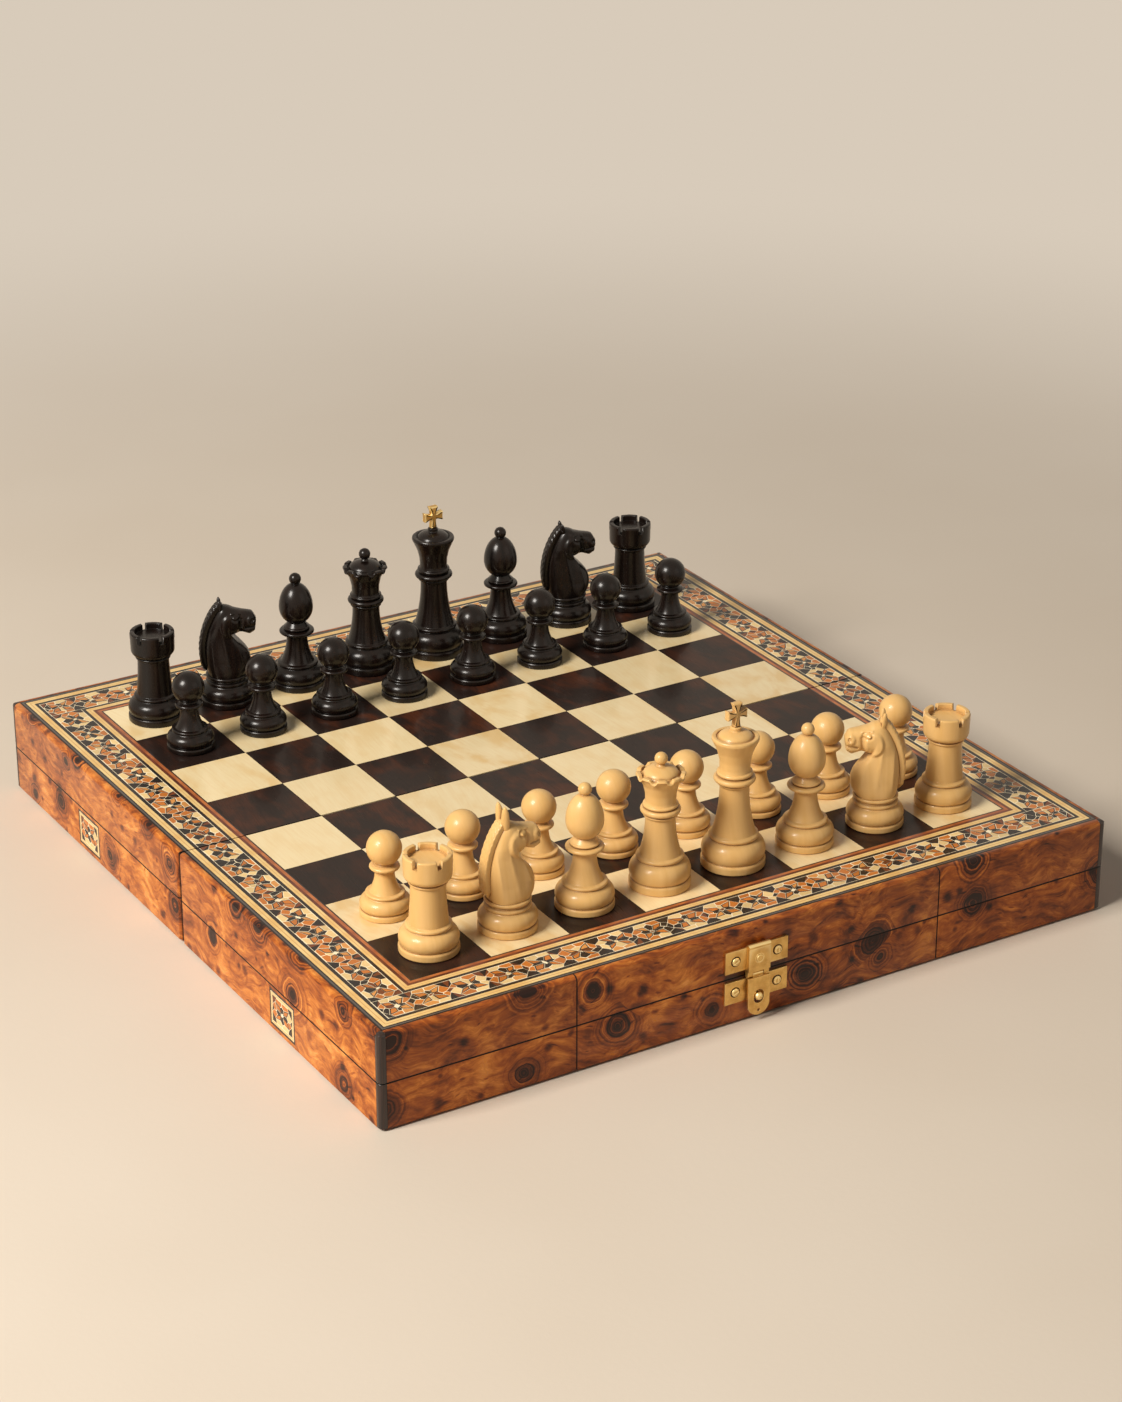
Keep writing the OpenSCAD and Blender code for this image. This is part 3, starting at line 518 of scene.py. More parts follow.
def on_wall(shape, x, out, z, rear=False):
    """A copy stood on the front or the rear wall: its up becomes the way out of the wall."""
    u, v, w = shape.points.T
    side = 1 if rear else -1
    return Shape(np.stack([x - side * u, side * (HALF_D + out + w), z + v], -1), shape.faces)


def pad(width, length, thick, crown):
    """Cloth pad: rectangles from the middle of the base round its soft rim to the middle of the top.

    The top lies crown lower in the mean than thick, and ripples by sines of its place."""
    a = circle(200)
    square = 1 / np.maximum(np.abs(np.cos(a)), np.abs(np.sin(a)))
    ring = np.stack([square * np.cos(a) * width / 2, square * np.sin(a) * length / 2], -1)
    inner = np.linspace(0.04, 1, 22)[:-1]
    t = np.linspace(-np.pi / 2, np.pi / 2, 9)
    edge = min(width, length) / 2
    inset = np.concatenate([inner, 1 - thick / 2 * (1 - np.cos(t)) / edge, inner[::-1]])
    z = np.concatenate([0 * inner, thick / 2 * (1 + np.sin(t)), thick + 0 * inner])
    rows = np.dstack([ring[None] * inset[:, None, None], np.repeat(z[:, None, None], len(a), 1)])
    upper = rows[..., 2] > thick / 2
    x, y = rows[..., 0], rows[..., 1]
    ripple = np.sin(x / 17 + 1.3) * np.sin(y / 13) + np.sin(x / 7 - y / 9)
    rows[..., 2] += crown * np.where(upper, 0.5 * ripple - 1.0, 0)
    return tube(rows)


def eased(node, body, material, width=0.25):
    """Copy of a CAD mesh with its points merged, its flat faces joined and every sharp edge rounded."""
    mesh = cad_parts[node].data.copy()
    work = bmesh.new()
    work.from_mesh(mesh)
    bmesh.ops.remove_doubles(work, verts=work.verts, dist=1e-6)
    bmesh.ops.dissolve_limit(work, angle_limit=math.radians(0.5), verts=work.verts, edges=work.edges)
    work.to_mesh(mesh)
    work.free()
    mesh.polygons.foreach_set("use_smooth", np.ones(len(mesh.polygons), bool))
    mesh.materials.clear()
    mesh.materials.append(material)
    ease = enter("eased." + node, mesh, body, [node]).modifiers.new("Ease", "BEVEL")
    ease.width, ease.segments, ease.limit_method, ease.angle_limit = width * MM, 3, "ANGLE", math.radians(40)
    ease.harden_normals = True


# Carved knight


def curve(t, knots):
    """Smooth line through the knots: a cubic between neighbours in each coordinate, with slopes matched."""
    knots = np.asarray(knots, float)
    s = np.linspace(0, 1, len(knots))
    slope = np.gradient(knots, s, axis=0)
    i = np.clip(np.searchsorted(s, t, "right") - 1, 0, len(s) - 2)
    h = s[1] - s[0]
    u = ((t - s[i]) / h)[:, None]
    a, b, c, d = knots[i], knots[i + 1], slope[i] * h, slope[i + 1] * h
    return ((2 * u ** 3 - 3 * u ** 2 + 1) * a + (u ** 3 - 2 * u ** 2 + u) * c
            + (3 * u ** 2 - 2 * u ** 3) * b + (u ** 3 - u ** 2) * d)


def knight_head():
    """Neck and head: rings between a back line and a throat line, which both run from the foot to the muzzle.

    Across the head each point keeps its side; the eye, cheek, nostril, mouth and flutes push it in or out."""
    t = np.linspace(0, 1, 190)
    back = curve(t, [
        (-9.4, 15.6), (-10.3, 20.5), (-10.7, 26.5), (-10.3, 33), (-8.9, 39.5), (-6.6, 45.2), (-4.2, 49.6),
        (-1.6, 52.2), (1.6, 52.0), (4.6, 50.6), (7.9, 49.6), (11.1, 49.0), (13.7, 48.2), (15.2, 45.8),
    ])
    throat = curve(t, [
        (9.4, 15.6), (11.6, 19), (12.3, 23), (11.3, 27.3), (8.9, 30.8), (6.2, 33.4), (4.4, 35.2), (3.6, 36.4),
        (4.6, 36.9), (6.3, 37.4), (8.3, 37.8), (10.3, 37.2), (12.3, 36.6), (14.0, 37.6),
    ])
    widths = [9.4, 9.4, 8.8, 7.8, 6.9, 6.3, 5.9, 5.6, 5.4, 5.2, 4.9, 4.6, 4.5, 4.0]
    wide = curve(t, np.array(widths)[:, None])
    c, s = boxed(circle(120), 0.8, 0.8)
    middle, reach = (back + throat) / 2, (back - throat) / 2
    x = middle[:, :1] + reach[:, :1] * c
    z = middle[:, 1:] + reach[:, 1:] * c
    y = wide * s
    side = np.sign(y) * np.clip(np.abs(s) * 1.6, 0, 1)

    def spot(cx, cz, rx, rz, edge=0.35):
        """1 inside an ellipse and 0 outside it, with a soft edge."""
        u = np.clip((1 + edge - np.hypot((x - cx) / rx, (z - cz) / rz)) / (2 * edge), 0, 1)
        return u ** 2 * (3 - 2 * u)

    def groove(x0, z0, x1, z1, width):
        """A bell across the line between two points."""
        dx, dz = x1 - x0, z1 - z0
        u = np.clip(((x - x0) * dx + (z - z0) * dz) / (dx * dx + dz * dz), 0, 1)
        return np.exp(-(((x - x0 - u * dx) ** 2 + (z - z0 - u * dz) ** 2) / width ** 2))

    # Cheek, bridle line, brow, eye socket, nostril, mouth, lower lip, and then the flutes of the neck
    push = 1.1 * spot(2.4, 42.6, 4.4, 5.6, 0.2)
    push -= 0.9 * groove(7.0, 38.0, 7.8, 45.5, 1.0)
    push += 0.6 * spot(5.4, 47.4, 1.7, 1.1, 0.4) + 0.6 * groove(3.2, 49.0, 7.6, 48.6, 0.55)
    push -= 0.6 * spot(5.4, 47.0, 2.5, 1.9, 0.3) * (1 - spot(5.4, 47.0, 1.5, 1.0, 0.3))
    push += 0.6 * spot(12.9, 44.8, 1.8, 2.2, 0.4) - 0.9 * spot(13.6, 44.7, 0.8, 1.0, 0.4)
    push -= 0.9 * groove(15.4, 41.4, 9.8, 40.6, 0.5)
    push += 0.45 * groove(14.4, 39.2, 10.6, 38.7, 0.9)
    up = np.clip((z - 17) / 6, 0, 1) * np.clip((41.5 - z) / 5, 0, 1)
    lean = (x + 2.5 + 0.10 * (z - 17)) / (4.1 - 0.055 * (z - 17))
    flute = np.abs(np.cos(lean * np.pi / 2)) ** 0.5
    push -= 0.62 * flute * up * (np.abs(s) > 0.25) * np.clip(np.abs(s) * 2 - 0.5, 0, 1)
    y = y + side * push
    end = np.stack([x, y, z], -1)
    nose = end[-1:]
    heart = nose.mean(1, keepdims=True)
    caps = [heart + (nose - heart) * k + np.array([lift, 0, -0.35 * lift])
            for k, lift in ((0.93, 0.35), (0.8, 0.55), (0.45, 0.65))]
    return tube(np.concatenate([end, *caps])[:, ::-1])


def knight_mane():
    """Mane: a flat band carried up the back of the neck, with slanted locks cut across it."""
    t = np.linspace(0, 1, 150)
    spine = curve(t, [(-9.9, 17.8), (-11.1, 22.5), (-11.6, 28), (-11.2, 33.5), (-9.8, 39.5), (-7.6, 45.0),
                      (-5.2, 49.2), (-2.8, 52.0), (-0.8, 52.8)])
    ahead = np.gradient(spine, axis=0)
    ahead /= np.hypot(*ahead.T)[:, None]
    out = np.stack([-ahead[:, 1], ahead[:, 0]], -1)
    c, s = boxed(circle(56), 0.45, 0.55)
    swell = np.clip(np.sin(np.pi * (t * 0.97 + 0.015)) * 3.2, 0.1, 1)[:, None] ** 0.6
    y = 3.1 * s * swell
    lock = np.abs(np.sin(t[:, None] * 46 + np.abs(y) * 1.4)) ** 0.6
    height = (1.75 + 0.4 * (lock - 0.5) * (c > -0.4) + 0.12 * np.sin(y * 5.5) * (c > 0)) * c * swell
    x = spine[:, :1] + out[:, :1] * height
    z = spine[:, 1:] + out[:, 1:] * height
    return tube(np.stack([x, y, z], -1))


def knight_ear(side, tall, broad):
    """Ear: rings along a short path. The front of each is pulled back, so that the ear is hollow."""
    t = np.linspace(0, 1, 34)
    root, tip = 48.6, 57.0
    path = curve(t, [(-1.6, 1.8, root), (-1.9, 2.3, 51.8), (-2.2, 2.7, 55.0), (-2.6, 2.9, tip)])
    path[:, 2] = root + (path[:, 2] - root) * (tall - root) / (tip - root)
    wide = (np.sin(np.pi * (0.3 + 0.68 * t)) ** 0.55 * broad)[:, None]
    a = circle(36)
    front = np.clip(np.cos(a), 0, 1)
    x = path[:, :1] + wide * (np.cos(a) * 0.8 - 0.75 * front ** 3)
    y = path[:, 1:2] * side + wide * np.sin(a) * 0.8
    z = path[:, 2:] + 0 * a
    return tube(np.stack([x, y, z], -1))


def knight(tall, broad):
    r, h = 13.7, 13.2
    base = turned(np.vstack([
        foot(r, h)[:-8], arc(0.74 * r, 0.9 * h, 0.05 * h, 0.07 * h, -75, 80, 8),
        [[0.7 * r, h], [0.7 * r, 1.06 * h]], arc(0.72 * r, 1.13 * h, 0.07 * h, 0.07 * h, -60, 80, 8),
        [[0, 1.2 * h]],
    ]))
    ears = [knight_ear(side, tall, broad) for side in (1, -1)]
    return together([base, knight_head(), knight_mane(), *ears])


# Inlay

# Half a repeat, half the height of the band between its hairlines, and the width of its white end line
HALF_UNIT, HALF_BAND, END_W = 9.36, 7.7, 0.5
BLACK, BROWN, ORANGE, TAN, CREAM, WHITE = 0.08, 0.25, 0.42, 0.58, 0.75, 0.92

# Tiles of one repeat: outline anticlockwise, mirrored across, mirrored up, woods from most to least common,
# wood of the edge and width of the edge.
TILES = [
    ([(1.2, 0), (0.6, 0.6), (0, 1.2), (-0.6, 0.6), (-1.2, 0), (-0.6, -0.6), (0, -1.2), (0.6, -0.6)], 0, 0,
     (WHITE, CREAM, BROWN), WHITE, 0.12),
    ([(0.6, 0.6), (4.7, 1.35), (6.5, 5.2), (2.1, 4.1)], 1, 1, (ORANGE, TAN, ORANGE), BLACK, 0.5),
    ([(1.2, 0), (0.6, -0.6), (4.7, -1.35), (6, 0), (4.7, 1.35), (0.6, 0.6)], 1, 0,
     (BLACK, BROWN, BLACK), WHITE, 0.1),
    ([(0, 1.2), (0.6, 0.6), (2.1, 4.1), (0, 5.4), (-2.1, 4.1), (-0.6, 0.6)], 0, 1,
     (BLACK, BLACK, CREAM), WHITE, 0.16),
    ([(0, 5.4), (2.1, 4.1), (6.5, 5.2), (5.7, 7.7), (0, 7.7)], 1, 1, (CREAM, ORANGE, TAN), WHITE, 0.26),
    ([(6.5, 5.2), (9.36, 2.7), (5.7, 7.7)], 1, 1, (BLACK, BROWN, BLACK), BLACK, 0.1),
    ([(6, 0), (7.9, 0), (9.36, 2.1), (9.36, 2.7), (6.5, 5.2), (4.7, 1.35)], 1, 1,
     (ORANGE, BLACK, CREAM), WHITE, 0.22),
    ([(9.36, 2.7), (9.36, 7.7), (5.7, 7.7)], 1, 1, (BLACK, BLACK, BROWN), BLACK, 0.08),
    ([(7.9, 0), (9.36, -2.1), (9.36, 2.1)], 1, 0, (BLACK, BROWN, BLACK), BLACK, 0.08),
]
HAIRLINES = [
    ([(-9.36, 7.7), (-5.7, 7.7), (0, 7.7), (5.7, 7.7), (9.36, 7.7), (9.36, 7.95), (-9.36, 7.95)], 0, 1,
     (WHITE, WHITE, WHITE), WHITE, 0.03),
    ([(-9.36, 7.95), (9.36, 7.95), (9.36, 8.2), (-9.36, 8.2)], 0, 1, (BLACK, BLACK, BLACK), BLACK, 0.03),
]
END_LINE = [
    ([(9.36, -8.2), (9.97, -8.2), (9.97, 8.2), (9.36, 8.2), (9.36, 7.95), (9.36, 7.7), (9.36, 2.7),
      (9.36, 2.1), (9.36, -2.1), (9.36, -2.7), (9.36, -7.7), (9.36, -7.95)], 0, 0,
     (WHITE, WHITE, WHITE), WHITE, 0.05),
]
BORDER = [
    ([(-9.36, 7.7), (-5.7, 7.7), (0, 7.7), (5.7, 7.7), (9.36, 7.7), (10.96, 9.6), (-10.96, 9.6)], 0, 1,
     (CREAM, CREAM, CREAM), WHITE, 0.12),
    ([(9.36, -7.7), (10.96, -9.6), (10.96, 9.6), (9.36, 7.7), (9.36, 2.7), (9.36, 2.1), (9.36, -2.1),
      (9.36, -2.7)], 1, 0, (CREAM, CREAM, CREAM), WHITE, 0.12),
    ([(-10.96, 9.6), (10.96, 9.6), (12.0, 10.9), (-12.0, 10.9)], 0, 1, (BLACK, BLACK, BLACK), BLACK, 0.08),
    ([(10.96, -9.6), (12.0, -10.9), (12.0, 10.9), (10.96, 9.6)], 1, 0, (BLACK, BLACK, BLACK), BLACK, 0.08),
]


def chance(place, *key):
    """A number from 0 to 1 for each place, always the same: the broken part of a large sine."""
    return np.mod(np.sin(place[..., 0] * 12.9898 + place[..., 1] * 78.233 + sum(key)) * 43758.5453, 1.0)


def marquetry(groups, depth, restless, groove=0.05):
    """Flat tiles that share their corners, each with its top drawn in, so that a shallow V runs between them.

    Corner: c + w p, with p from the tile's outline, c the middle of the repeat and w its stretch; then moved
    by restless times a sine of its own place. A group is a list of tiles, with the middles and the stretches
    of its repeats. The skin is closed by walls and a base at -depth. Across is x and up is y."""
    corners, rings, total = [], [], 0
    listed = [(tile, centres, widths) for tiles, centres, widths in groups for tile in tiles]
    for n, ((outline, across, up, choice, edge, width), centres, widths) in enumerate(listed):
        for sx in (1, -1) if across else (1,):
            for sy in (1, -1) if up else (1,):
                ring = np.array(outline) * (sx, sy)
                ring = ring[::-1] if sx * sy < 0 else ring
                x = centres[:, None] + widths[:, None] * ring[:, 0]
                place = np.stack([x, 0 * x + ring[:, 1]], -1)
                place[widths < 0] = place[widths < 0, ::-1]
                middle = place.mean(1)
                luck = chance(middle, n, sx, 3 * sy)
                wood = np.where(luck < 0.55, choice[0], np.where(luck < 0.8, choice[1], choice[2]))
                corners.append(place.reshape(-1, 2))
                rings.append((total, *place.shape[:2], width, wood, edge, chance(middle, 7.7, n)))
                total += place.shape[0] * place.shape[1]
    flat = np.vstack(corners)
    x, y = flat.T
    off = np.abs(x - x.mean())
    _, first, same = np.unique(np.rint(flat * 50).astype(int), axis=0, return_index=True, return_inverse=True)
    same = same.ravel()
    free = np.clip((off.max() - off) / 2, 0, 1) * np.clip((HALF_BAND - np.abs(y)) / 2, 0, 1)
    wave = np.sin(np.stack([0.71 * x + 0.8 * y, 0.59 * x - 0.67 * y + 1.0], -1))
    flat = (flat + restless * free[:, None] * wave)[first][same]
    used = len(first)
    low = np.column_stack([flat[first], np.full(used, -groove)])
    points, faces, marks, luck = [low], [], [], []
    for start, count, sides, width, wood, edge, seed in rings:
        ring = flat[start:start + count * sides].reshape(count, sides, 2)
        leg = np.roll(ring, -1, 1) - ring
        normal = np.stack([-leg[..., 1], leg[..., 0]], -1) / np.hypot(leg[..., 0], leg[..., 1])[..., None]
        before = np.roll(normal, 1, 1)
        bend = np.maximum(1 + (before * normal).sum(-1, keepdims=True), 0.4)
        inner = ring + width * (before + normal) / bend
        points.append(np.dstack([inner, np.zeros((count, sides))]).reshape(-1, 3))
        top = used + np.arange(count * sides).reshape(count, sides)
        out = same[start:start + count * sides].reshape(count, sides)
        after, on = np.roll(top, -1, 1), np.roll(out, -1, 1)
        faces += [top, np.stack([out, on, after, top], -1).reshape(-1, 4)]
        marks += [wood, np.full(count * sides, edge)]
        luck += [seed, np.repeat(seed, sides)]
        used += count * sides
    # A leg of a tile that no other tile runs along the other way is on the rim
    legs = np.vstack([bevel[:, :2] for bevel in faces[1::2]])
    span = legs.max() + 1
    rim = legs[~np.isin(legs[:, 0] * span + legs[:, 1], legs[:, 1] * span + legs[:, 0])]
    outer = np.unique(rim)
    below = used + np.searchsorted(outer, rim)
    base = np.column_stack([low[outer, :2], np.full(len(outer), -depth)])
    points += [base, base.mean(0, keepdims=True)]
    faces += [np.stack([rim[:, 1], rim[:, 0], below[:, 0], below[:, 1]], -1),
              np.stack([below[:, 1], below[:, 0], np.full(len(rim), used + len(base))], -1)]
    marks += [np.full(2 * len(rim), BLACK)]
    luck += [np.zeros(2 * len(rim))]
    return Shape(np.vstack(points), faces), {"wood": np.concatenate(marks), "chance": np.concatenate(luck)}


# Finishes

LACQUER = {"Coat_Weight": 0.2, "Coat_Roughness": 0.12, "Specular_IOR_Level": 0.36}


def burr_finish(look):
    """Burr veneer: hearts and rings about scattered points, grain that flows round them, pips and clouds.

    Each of the four walls takes its own stretch of one long sheet, which folds over onto the top."""
    f = Finish("burr_veneer")
    whole, x, y, z = f.place()
    in_x, in_y = HALF_W - abs(x), HALF_D - abs(y)
    side = in_x < in_y
    inset = in_x.math("MINIMUM", in_y)
    along = side * (y + 1300 * (x > 0) + 650) + (1 - side) * (x + 1300 * (y > 0))
    flat = f.join(along, z + inset)
    calm = f.warp(f.warp(flat, 42, 9.0), 7, 1.6)
    loose = f.warp(f.warp(flat, 30, 26.0), 9, 5.0)
    d1, (r1, g1, b1) = f.cells(calm, look.eye_pitch / MM, 0.95)
    d2, (r2, g2, _) = f.cells(f.stretch(calm, (1, 1, 1), (311, 77, 0)), 15.0)
    d3, (r3, g3, _) = f.cells(f.stretch(loose, (0.42, 1.5, 1), (91, 17, 0)), 7.0)
    clouds = f.noise(flat, 17, 3)
    broad = f.noise(flat, 60, 1)
    near = (d1 / (8 + 7 * r1)).step(1.25, 0.3) * (g1 > 0.2)
    bands = f.noise(f.stretch(loose, (0.3, 1, 1)), 3.4, 3, 0.55)
    fibre = f.noise(f.stretch(loose, (0.16, 1, 1)), 0.8, 3, 0.65)
    rings = f.noise(f.join(d1 + 1.6 * f.noise(flat, 4, 2), 2.0 * clouds, 40 * b1), 1.15, 1.0)
    heart = (d1 / (2.2 + 2.6 * r1)).step(1.8, 0.1) * (g1 > 0.2)
    heart2 = (d2 / (0.9 + 1.5 * r2)).step(1.8, 0.3) * (g2 > 0.45)
    pips = (d3 / (0.3 + 0.45 * r3)).step(1.7, 0.5) * (g3 > 0.55)
    tone = (0.58 + (bands - 0.5) * (1 - near) + (rings - 0.5) * 2.0 * near + 0.36 * (fibre - 0.5)
            + 0.8 * (clouds - 0.5) + 0.5 * (broad - 0.5) - 0.2 * near + 0.12 * side)
    tone = tone - 0.5 * heart - 0.36 * heart2 - 0.26 * pips
    colour = f.ramp(tone, (0.0, linear(34, 14, 8)), (0.16, linear(70, 30, 14)), (0.36, tuple(look.burr_dark)),
                    (0.58, tuple(look.burr_mid)), (0.8, tuple(look.burr_light)), (1.0, linear(232, 156, 78)))
    joint = abs(abs(x) - VENEER_JOINT_X).step(0.45, 0.25) * (y < 0) * (1 - side)
    # Masks for painted shade: the seam between tray and lid, and the gap between the front and rear halves.
    seam_shade = abs(z - SEAM_Z).step(0.55, 0.3)
    middle = abs(y).step(1.3, 0.7)
    banding = (inset > BANDING[0]) * (inset < BANDING[1]) * (z > TOP_Z - 0.8)
    colour = f.mix(banding, colour, linear(34, 24, 20))
    # Painted shade: the wood round the clasp, between its plates, is darkened to stand for their shadow.
    clasp_shade = abs(x - CLASP_X).step(18.0, 15.5) * abs(z - SEAM_Z).step(4.0, 1.2) * (y < 0) * (1 - side) * 0.85
    colour = f.mix(clasp_shade, colour, linear(30, 12, 7))
    # Dark veneer joints at the front, and painted shade in the seam between tray and lid and in the gap
    # between the halves.
    colour = f.mix(joint.math("MAXIMUM", seam_shade).math("MAXIMUM", middle), colour, linear(22, 9, 5))
    bare = f.noise(f.stretch(whole, (0.12, 0.12, 1.6)), 1.4, 3)
    bare = f.ramp(bare, (0.3, linear(92, 50, 30)), (0.7, linear(128, 74, 44)))
    colour = f.mix(inset.step(4.5, 6.0), colour, bare)
    return f.surface(colour, 0.36 - 0.1 * tone, f.bump(fibre + 0.5 * rings, 0.00004, 0.5),
                     Coat_Weight=0.1, Coat_Roughness=0.16, Specular_IOR_Level=0.24)


def square_finish(name, light, shade, speck, streaks, rough, **sockets):
    """Veneer squares: each has its own tone and grain direction, with clouds of figure and fine fibre."""
    f = Finish(name)
    whole, x, y, _ = f.place()
    row = (y - MID_GAP / 2 * (y > 0) + MID_GAP / 2 * (y < 0)) / SQUARE
    cell = f.join((x / SQUARE).math("FLOOR"), row.math("FLOOR"), 3.7)
    c1, c2, c3 = f.split(f.node("ShaderNodeTexWhiteNoise", {"Vector": cell}, 1, noise_dimensions="3D"))
    own = f.spun(whole, (c1 - 0.5) * 0.5)
    own = f.node("ShaderNodeVectorMath", [own, f.join(c1 * 900, c2 * 900, c3 * 900)], operation="ADD")
    fibre = f.noise(f.stretch(own, (1.0, 0.045, 1.0)), 0.8, 3, 0.6)
    figure = f.noise(f.warp(f.stretch(own, (0.8, 0.45, 1.0)), 12, 9.0), 11, 3, 0.55)
    colour = f.mix(figure.step(0.42, 0.68) * (0.25 + streaks * c2), light, shade)
    colour = f.shaded(f.mix(fibre.step(0.35, 0.75) * 0.4, colour, speck), 0.94 + 0.12 * c3)
    return f.surface(colour, rough + 0.1 * fibre, f.bump(fibre), **sockets)


def line_finish(name, build):
    """Stringing: build gives the colour from the inset from the edge, the grain and broader patches."""
    f = Finish(name)
    _, x, y, _ = f.place()
    in_x, in_y = HALF_W - abs(x), HALF_D - abs(y)
    across = in_x < in_y
    inset = in_x.math("MINIMUM", in_y)
    along = across * y + (1 - across) * x
    grain = f.noise(f.join(along * 0.06, inset * 0.6, 0.0), 0.7, 2)
    patch = f.noise(f.join(along, inset * 0.3, 2.0), 9, 3)
    return f.surface(build(f, inset, grain, patch), 0.28 + 0.12 * grain, f.bump(grain), **LACQUER)


def pale_line(f, inset, grain, patch):
    colour = f.mix(patch.step(0.35, 0.7), linear(242, 208, 142), linear(232, 186, 112))
    return f.mix(grain.step(0.6, 0.85) * 0.08, colour, linear(196, 142, 82))


def black_line(f, inset, grain, patch):
    colour = f.mix(patch.step(0.35, 0.75), linear(26, 20, 18), linear(42, 29, 23))
    hair_out, hair_in = ((inset > low) * (inset < high) for low, high in (HAIRLINE_OUT, HAIRLINE_IN))
    colour = f.mix(hair_out + hair_in, colour, linear(218, 170, 106))
    # Painted reflection: the outer part of the black line is grey, as the sheen of glossy lacquer.
    return f.mix(inset.step(*EDGE_SHEEN), colour, linear(92, 86, 80))


def red_line(f, inset, grain, patch):
    red = f.mix(patch.step(0.3, 0.7), linear(84, 38, 24), linear(120, 58, 34))
    orange = f.mix(patch.step(0.3, 0.75), linear(196, 116, 62), linear(150, 78, 42))
    return f.mix(grain.step(0.5, 0.8) * 0.4, f.mix(inset.step(*RED_END), red, orange), linear(70, 32, 20))


def mosaic_finish():
    """Mosaic: each tile carries its wood as a number, with a tone and a grain direction of its own."""
    f = Finish("mosaic_inlay")
    whole = f.place()[0]
    wood = f.node("ShaderNodeAttribute", output="Fac", attribute_name="wood")
    luck = f.node("ShaderNodeAttribute", output="Fac", attribute_name="chance")
    colour = f.ramp(wood, (0.0, linear(28, 20, 17)), (0.17, linear(116, 58, 24)),
                    (0.34, linear(202, 118, 46)), (0.5, linear(216, 148, 78)),
                    (0.67, linear(238, 204, 142)), (0.84, linear(252, 236, 200)), hard=True)
    fibre = f.noise(f.stretch(f.spun(whole, luck * 6.28), (1, 0.12, 1)), 0.5, 3, 0.6)
    colour = f.shaded(f.mix(fibre.step(0.4, 0.75) * 0.4, colour, f.shaded(colour, 0.72)), 0.86 + 0.26 * luck)
    return f.surface(colour, 0.28 + 0.14 * luck, f.bump(fibre), **LACQUER)


def strip_finish():
    """Dark corner strips: upright fibre under lacquer."""
    f = Finish("ebony_strip")
    whole, _, _, z = f.place()
    fibre = f.noise(f.stretch(whole, (1, 1, 0.05)), 0.7, 3)
    colour = f.mix(fibre.step(0.35, 0.7), linear(28, 17, 13), linear(52, 30, 21))
    # Painted shade in the seam between tray and lid.
    colour = f.mix(abs(z - SEAM_Z).step(0.55, 0.3), colour, linear(14, 8, 6))
    return f.surface(colour, 0.3 + 0.1 * fibre, f.bump(fibre), Coat_Weight=0.2, Coat_Roughness=0.12)


def panel_finish():
    """Plain stained panel inside the case: long fibre with a few darker streaks."""
    f = Finish("panel_wood")
    whole, _, y, _ = f.place()
    fibre = f.noise(f.stretch(f.warp(whole, 60, 6.0), (0.03, 1, 1)), 1.1, 3, 0.6)
    streak = f.noise(f.stretch(whole, (0.01, 0.12, 1)), 1.0, 2)
    colour = f.mix(fibre.step(0.3, 0.7), linear(112, 66, 38), linear(84, 46, 27))
    colour = f.mix(streak.step(0.4, 0.75) * 0.5, colour, linear(134, 84, 50))
    # Painted shade along the gap between the front and rear halves.
    colour = f.mix(abs(y).step(0.9, 0.6), colour, linear(24, 12, 8))
    return f.surface(colour, 0.45 + 0.15 * fibre, f.bump(fibre, 0.00005, 0.5),
                     Coat_Weight=0.15, Coat_Roughness=0.25)


def brass_finish():
    """Brass: fine brushing along the front, worn pale spots, a painted highlight on rounded edges and painted
    brown shade in its hollows.
    """
    f = Finish("brass")
    whole = f.place()[0]
    brushed = f.noise(f.stretch(whole, (0.12, 1, 2.2)), 0.35, 3)
    worn = f.noise(whole, 6, 4, 0.6)
    colour = f.mix(worn.step(0.35, 0.72), linear(226, 186, 112), linear(196, 152, 84))
    colour = f.mix(brushed.step(0.45, 0.8) * 0.35, colour, linear(240, 208, 142))
    # Painted highlight: faces that lean away from the box's axes, on the rounded edges, are made pale.
    nx, ny, nz = f.split(f.node("ShaderNodeNewGeometry", output="Normal"))
    glint_facing = abs(nx).math("MAXIMUM", abs(ny)).math("MAXIMUM", abs(nz))
    colour = f.mix(glint_facing.step(0.995, 0.93) * 0.8, colour, linear(255, 232, 170))
    # Painted shade: brown where the piece's own shape hides a point.
    colour = f.mix(f.groove(1.2).step(0.25, 0.8) * 0.85, colour, linear(58, 34, 14))
    rough = 0.3 + 0.16 * worn + 0.1 * brushed
    return f.surface(colour, rough, f.bump(brushed, 0.00002, 0.5), Metallic=1.0)


def screw_shade_finish():
    """Painted shade round the screws: dark, dull brass."""
    f = Finish("painted_screw_shade")
    whole = f.place()[0]
    worn = f.noise(whole, 0.8, 3, 0.6)
    colour = f.mix(worn.step(0.3, 0.7), linear(48, 30, 14), linear(84, 56, 28))
    return f.surface(colour, 0.5 + 0.2 * worn, f.bump(worn, 0.00003, 0.5), Metallic=0.6)


